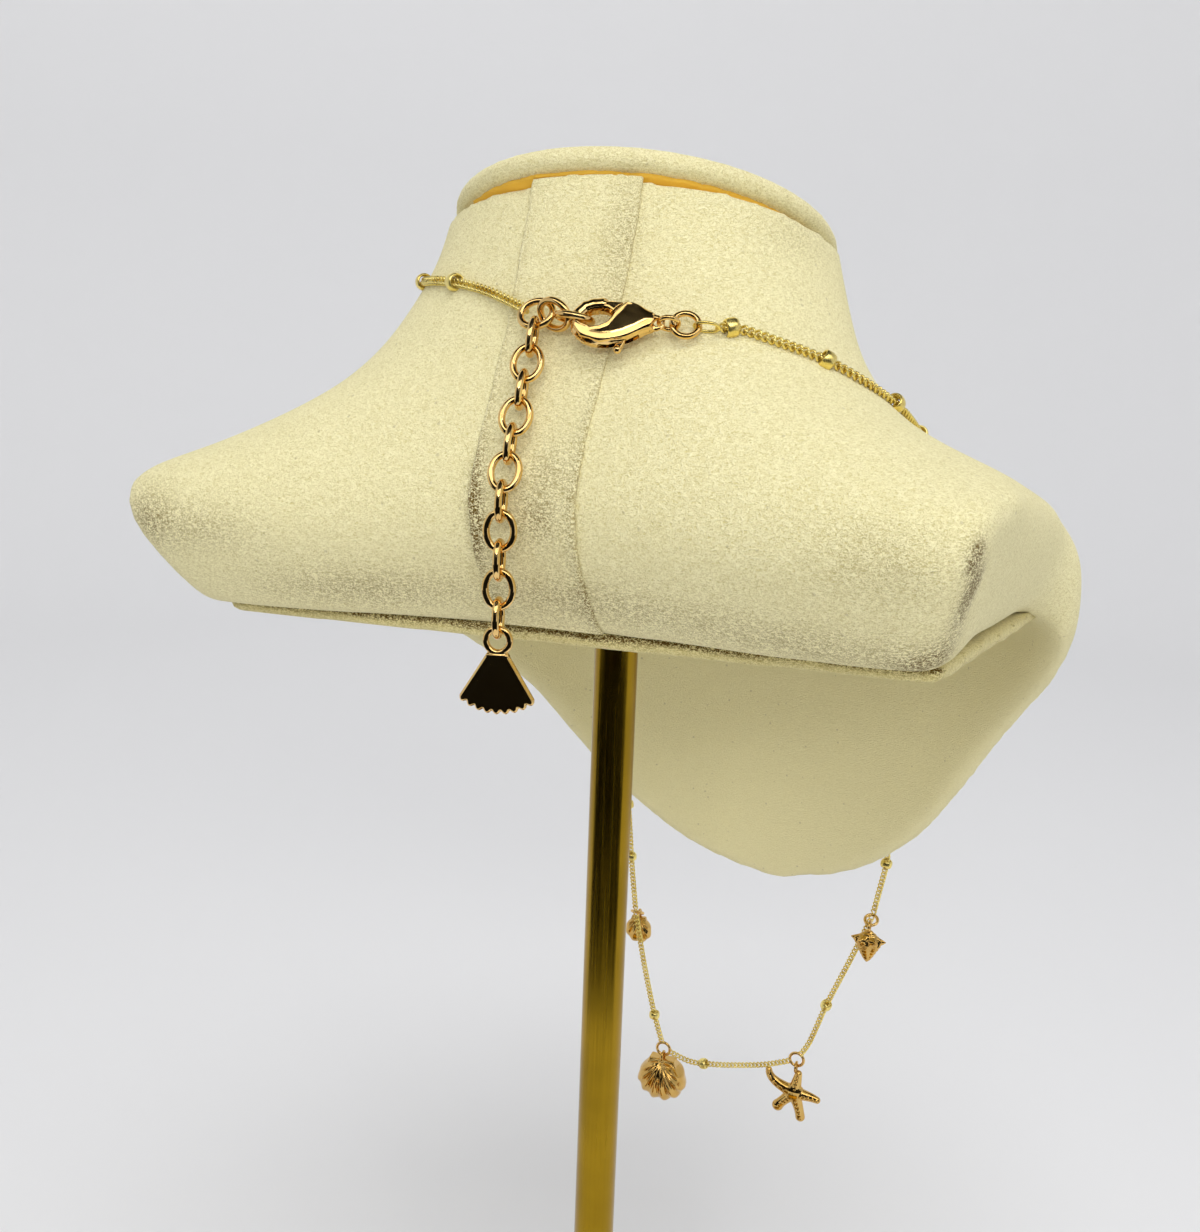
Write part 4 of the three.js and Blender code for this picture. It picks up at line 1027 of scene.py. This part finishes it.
to_edge = np.minimum(gap_to(points, OUTER), gap_to(points, MOUTH))
points[:, 2] *= np.where(points[:, 1] > TAB_TOP, rounded(to_edge, *ROUNDED["gate"]), 1)
back_home(lever, eased(points, OUTER, **EASED), CLASP, "clasp_lever")
rivet = cast("clasp_rivet", "clasp_pin", CLASP, step=0.05, rounds=2)
back_home(rivet, points_of(rivet), CLASP, "clasp_pin")
for made, body in ((clasp, "stand_and_necklace"), (lever, "clasp_lever"), (rivet, "stand_and_necklace")):
    made.data.materials.append(WARM)
    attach(made, body)

# ----------------------------------------
# Tag. A plain fan, cast in warm gold with ribs on the side that faces the bust; the side seen
# from behind is flat, mirror-bright and edged by a fine step. It is soldered to its ring.
# ----------------------------------------
FAN = {"lobes": 9, "width": 12.2, "height": 9.3, "top": -2.1, "rib": 0.22, "rim": 0.3, "step": 0.2}
FAN_TOP_HALF = 1.6
FACE_LEVEL = 0.2
EYE = {"d": 4.7, "wire": 1.05, "above": 2.2}
TAG_TURN = math.radians(18)
MIRROR = gold("warm_gold_flat", WARM_GOLD, 0.035, 0.3)
low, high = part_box("tag")
TAG = Matrix.Rotation(TAG_TURN, 4, "Z") @ Matrix.Rotation(math.pi / 2, 4, "X")
TAG.translation = Vector(((low.x + high.x) * 500, (low.y + high.y) * 500, high.z * 1000 - EYE["above"]))
half = math.asin(FAN["width"] / 2 / FAN["height"])


def scallop(turn):
    return np.abs(np.cos(FAN["lobes"] * math.pi * turn / (2 * half)))


outline = [(-FAN_TOP_HALF, FAN["top"] + 0.2)]
for turn in np.linspace(-half, half, FAN["lobes"] * 10 + 1):
    reach = FAN["height"] * (0.94 + 0.06 * scallop(turn))
    outline.append((reach * math.sin(turn), FAN["top"] - reach * math.cos(turn)))
outline += [(FAN_TOP_HALF, FAN["top"] + 0.2), outline[0]]
eye = mesh_data("eye", *wire_oval(EYE["d"], EYE["d"], EYE["wire"], 0, 40, 14))
fan = cast("fan_tag", "tag", TAG, step=0.09, rounds=2, extra=(eye,))
points = points_of(fan)
to_edge = gap_to(points, outline)
turn = np.arctan2(points[:, 0], -(points[:, 1] - FAN["top"]))
reach = np.hypot(points[:, 0], points[:, 1] - FAN["top"]) / FAN["height"]
plate = points[:, 1] < FAN["top"] - 0.25
ribs = FAN["rib"] * scallop(turn) * np.clip(reach * 1.6, 0, 1)
relief = points[:, 2] * rounded(to_edge, 0.7, 0.5) - 0.1 + ribs * np.clip(to_edge / 0.4, 0, 1)
points[:, 2] = np.where(plate & (points[:, 2] > FACE_LEVEL), relief, points[:, 2])
step = FAN["step"] * np.clip((FAN["rim"] - to_edge) / 0.1, 0, 1)
points[:, 2] = np.where(plate & (points[:, 2] < -FACE_LEVEL), points[:, 2] + step, points[:, 2])
fan.data.materials.append(WARM)
fan.data.materials.append(MIRROR)
flat = plate & (points[:, 2] < -FACE_LEVEL) & (to_edge > FAN["rim"])
for face in fan.data.polygons:
    face.material_index = int(all(flat[k] for k in face.vertices))
back_home(fan, points, TAG, "tag")
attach(fan, "stand_and_necklace")

# ----------------------------------------
# Shells. Two ribbed cockles and a small knobbed conch, cast in gold, each with a loop at the top
# for its ring. The big cockle hangs on the chain; the small ones lean out from it.
# ----------------------------------------
# Painted shade: the charms' gold is a darker copy of the warm gold, standing in for the dark surroundings
# that the charms reflect.
CHARM_GOLD_SHADED = gold("charm_gold", (0.74, 0.48, 0.15), 0.1, 2.0)
LOOP = {"d": 3.3, "wire": 0.7, "drop": 0.4}
TOP = -1.35
EARS = [(-0.26, 0.05), (0.26, 0.05), (0.32, -0.16), (0, -0.2), (-0.32, -0.16)]
RIB_SPREAD = 1.42
COCKLES = (
    # name, node, size, ribs, step of its skin
    ("big_cockle", "shell_charm", {"width": 14.0, "height": 12.1, "depth": 10.2}, 9, 0.16),
    ("little_cockle", "small_cockle", {"width": 7.6, "height": 7.5, "depth": 3.9}, 7, 0.1),
)
WHELK = {"width": 7.4, "height": 9.0, "depth": 4.2, "knobs": 6}
WHELK_SPINE = [
    # radius and height, as shares of the whole
    (0.02, 1), (0.2, 0.985), (0.3, 0.95), (0.34, 0.925), (0.5, 0.89), (0.56, 0.85), (0.9, 0.75),
    (0.97, 0.7), (0.93, 0.6), (0.8, 0.48), (0.62, 0.35), (0.4, 0.18), (0.22, 0.07), (0.05, 0),
]


def hang_frame(node):
    """Frame at the low point of a charm's ring: Z up, X along the necklace's front."""
    down = Vector((0, LEAN_OUT * LEANS[node], -LEAN_DROP)) if LEANS[node] else Vector((0, 0, -1))
    lie = Matrix.Rotation(math.atan(FRONT_SLOPE), 4, "Z")
    centre = Vector(lie_of(f"{node}_ring").translation)
    lie.translation = centre + down * (OVALS[f"{node}_ring"][0] - CHARM_WIRE) / 2
    return lie


def loop_mesh():
    points, faces = wire_oval(LOOP["d"], LOOP["d"], LOOP["wire"], 0, 32, 12)
    return mesh_data("loop", points[:, [2, 1, 0]] + np.array([0, 0, -LOOP["drop"]]), faces)


def cockle(width, height, depth, ribs):
    """Both valves: ribs spread from the beak at the top and notch the rim below."""
    a, b = width / 2, height / 2
    columns = []
    for t in np.linspace(-RIB_SPREAD, RIB_SPREAD, ribs * 10 + 1):
        s, c = math.sin(t), math.cos(t)
        rim = 2 * c / b / (s * s / a / a + c * c / b / b)
        rib = math.cos(2 * math.pi * ribs * (t + RIB_SPREAD) / (2 * RIB_SPREAD))
        columns.append((s, c, rim, rib))
    rows = []
    for r in np.linspace(0, 1, 34)[1:]:
        swell = (r**0.42) * (1 - r**2.6) ** 0.55 * 1.28
        ring = []
        for side in (1, -1):
            for s, c, rim, rib in columns[::side]:
                reach = rim * r * (1 + 0.022 * rib * r)
                thick = depth / 2 * swell * c**0.35 * (1 + 0.1 * rib * min(1, r * 2.0))
                ring.append((s * reach, side * thick, TOP - c * reach))
        rows.append(ring)
    return sheet_mesh("cockle", np.array(rows))


def ears_of(width, height, depth):
    """The flat lug behind a cockle's beak: its outline in X and Z, thick in Y."""
    thick = depth * 0.3
    ring = [(x * width, z * height + TOP) for x, z in EARS]
    return sheet_mesh("ears", np.array([[(x, y, z) for x, z in ring] for y in (-thick / 2, thick / 2)]))


def conch(width, height, depth, knobs):
    """Whelk-like: short stepped spire, knobbed shoulder, grooved body drawn to a point."""
    along = np.linspace(0, len(WHELK_SPINE) - 1, 60)
    radius = np.interp(along, range(len(WHELK_SPINE)), [r for r, _ in WHELK_SPINE])
    level = np.interp(along, range(len(WHELK_SPINE)), [z for _, z in WHELK_SPINE])
    rows = []
    for r, z in zip(radius, level):
        ring = []
        shoulder = max(0.0, 1 - abs(z - 0.71) / 0.13)
        for t in np.linspace(0, 2 * math.pi, 72, endpoint=False):
            out = 1 + 0.3 * shoulder * math.cos(knobs * t) ** 3
            out += 0.035 * math.sin(2 * math.pi * (z * 9 - t / (2 * math.pi))) * (z < 0.62)
            out -= 0.34 * math.exp(-(((t - 4.2) / 0.35) ** 2)) * math.exp(-(((z - 0.36) / 0.26) ** 2))
            x, y = width / 2 * r * out * math.cos(t), -depth / 2 * r * out * math.sin(t)
            ring.append((x, y, TOP + height * (z - 1)))
        rows.append(ring)
    return sheet_mesh("conch", np.array(rows))


def union_of(name, node, meshes, step):
    """Meshes made in a charm's frame (mm), cast together as one skin in the node's place."""
    body = bmesh.new()
    for one in meshes:
        body.from_mesh(one)
    bmesh.ops.recalc_face_normals(body, faces=body.faces)
    joined = bpy.data.meshes.new(name)
    body.to_mesh(joined)
    body.free()
    made = new_object(name, joined)
    skin_over(made, step, 2)
    back_home(made, points_of(made), hang_frame(node), node)
    made.data.materials.append(CHARM_GOLD_SHADED)
    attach(made, "stand_and_necklace")


for name, node, size, ribs, step in COCKLES:
    union_of(name, node, [cockle(**size, ribs=ribs), ears_of(**size), loop_mesh()], step)
union_of("little_conch", "small_conch", [conch(**WHELK), loop_mesh()], step=0.1)

# ----------------------------------------
# Starfish. Five curved arms, thick at the middle and blunt at the tips, with a row of grains
# down both edges of each arm; the top arm runs into the loop.
# ----------------------------------------
STAR_DROP = 8.2
STAR_FLAT = 0.85
STAR_MIDDLE = {"radius": 2.9, "flat": 0.6}
STAR_BALLS = 18
GRAIN = {"every": 3, "radius": 0.36, "out": 1.35, "narrowing": 0.45}
STAR_ARMS = [
    # direction and reach, how far the arm curls sideways (degrees), tip radius
    (18, 10.4, 75, 0.95), (98, 7.0, 0, 1.0), (182, 7.4, 18, 1.0), (250, 8.6, 12, 1.35), (312, 8.2, -8, 1.6),
]
limbs = [ball((0, 0, -STAR_DROP), **STAR_MIDDLE)]
for turn, reach, curl, tip in STAR_ARMS:
    at = Vector((0, 0, -STAR_DROP))
    for k in range(STAR_BALLS):
        u = k / (STAR_BALLS - 1)
        heading = math.radians(turn + curl * u**3)
        limbs.append(ball(at, 0.9 * (1 - u) + 1.0 + (tip - 1.0) * u**4, STAR_FLAT))
        if k % GRAIN["every"] == GRAIN["every"] - 1:
            for side in (-1, 1):
                out = side * (GRAIN["out"] - GRAIN["narrowing"] * u)
                limbs.append(ball(at + Vector((0, out, 0)), GRAIN["radius"], STAR_FLAT))
        at = at + Vector((math.cos(heading), 0, math.sin(heading))) * (reach - tip) / (STAR_BALLS - 1)
limbs.append(loop_mesh())
union_of("star", "starfish_charm", limbs, step=0.13)
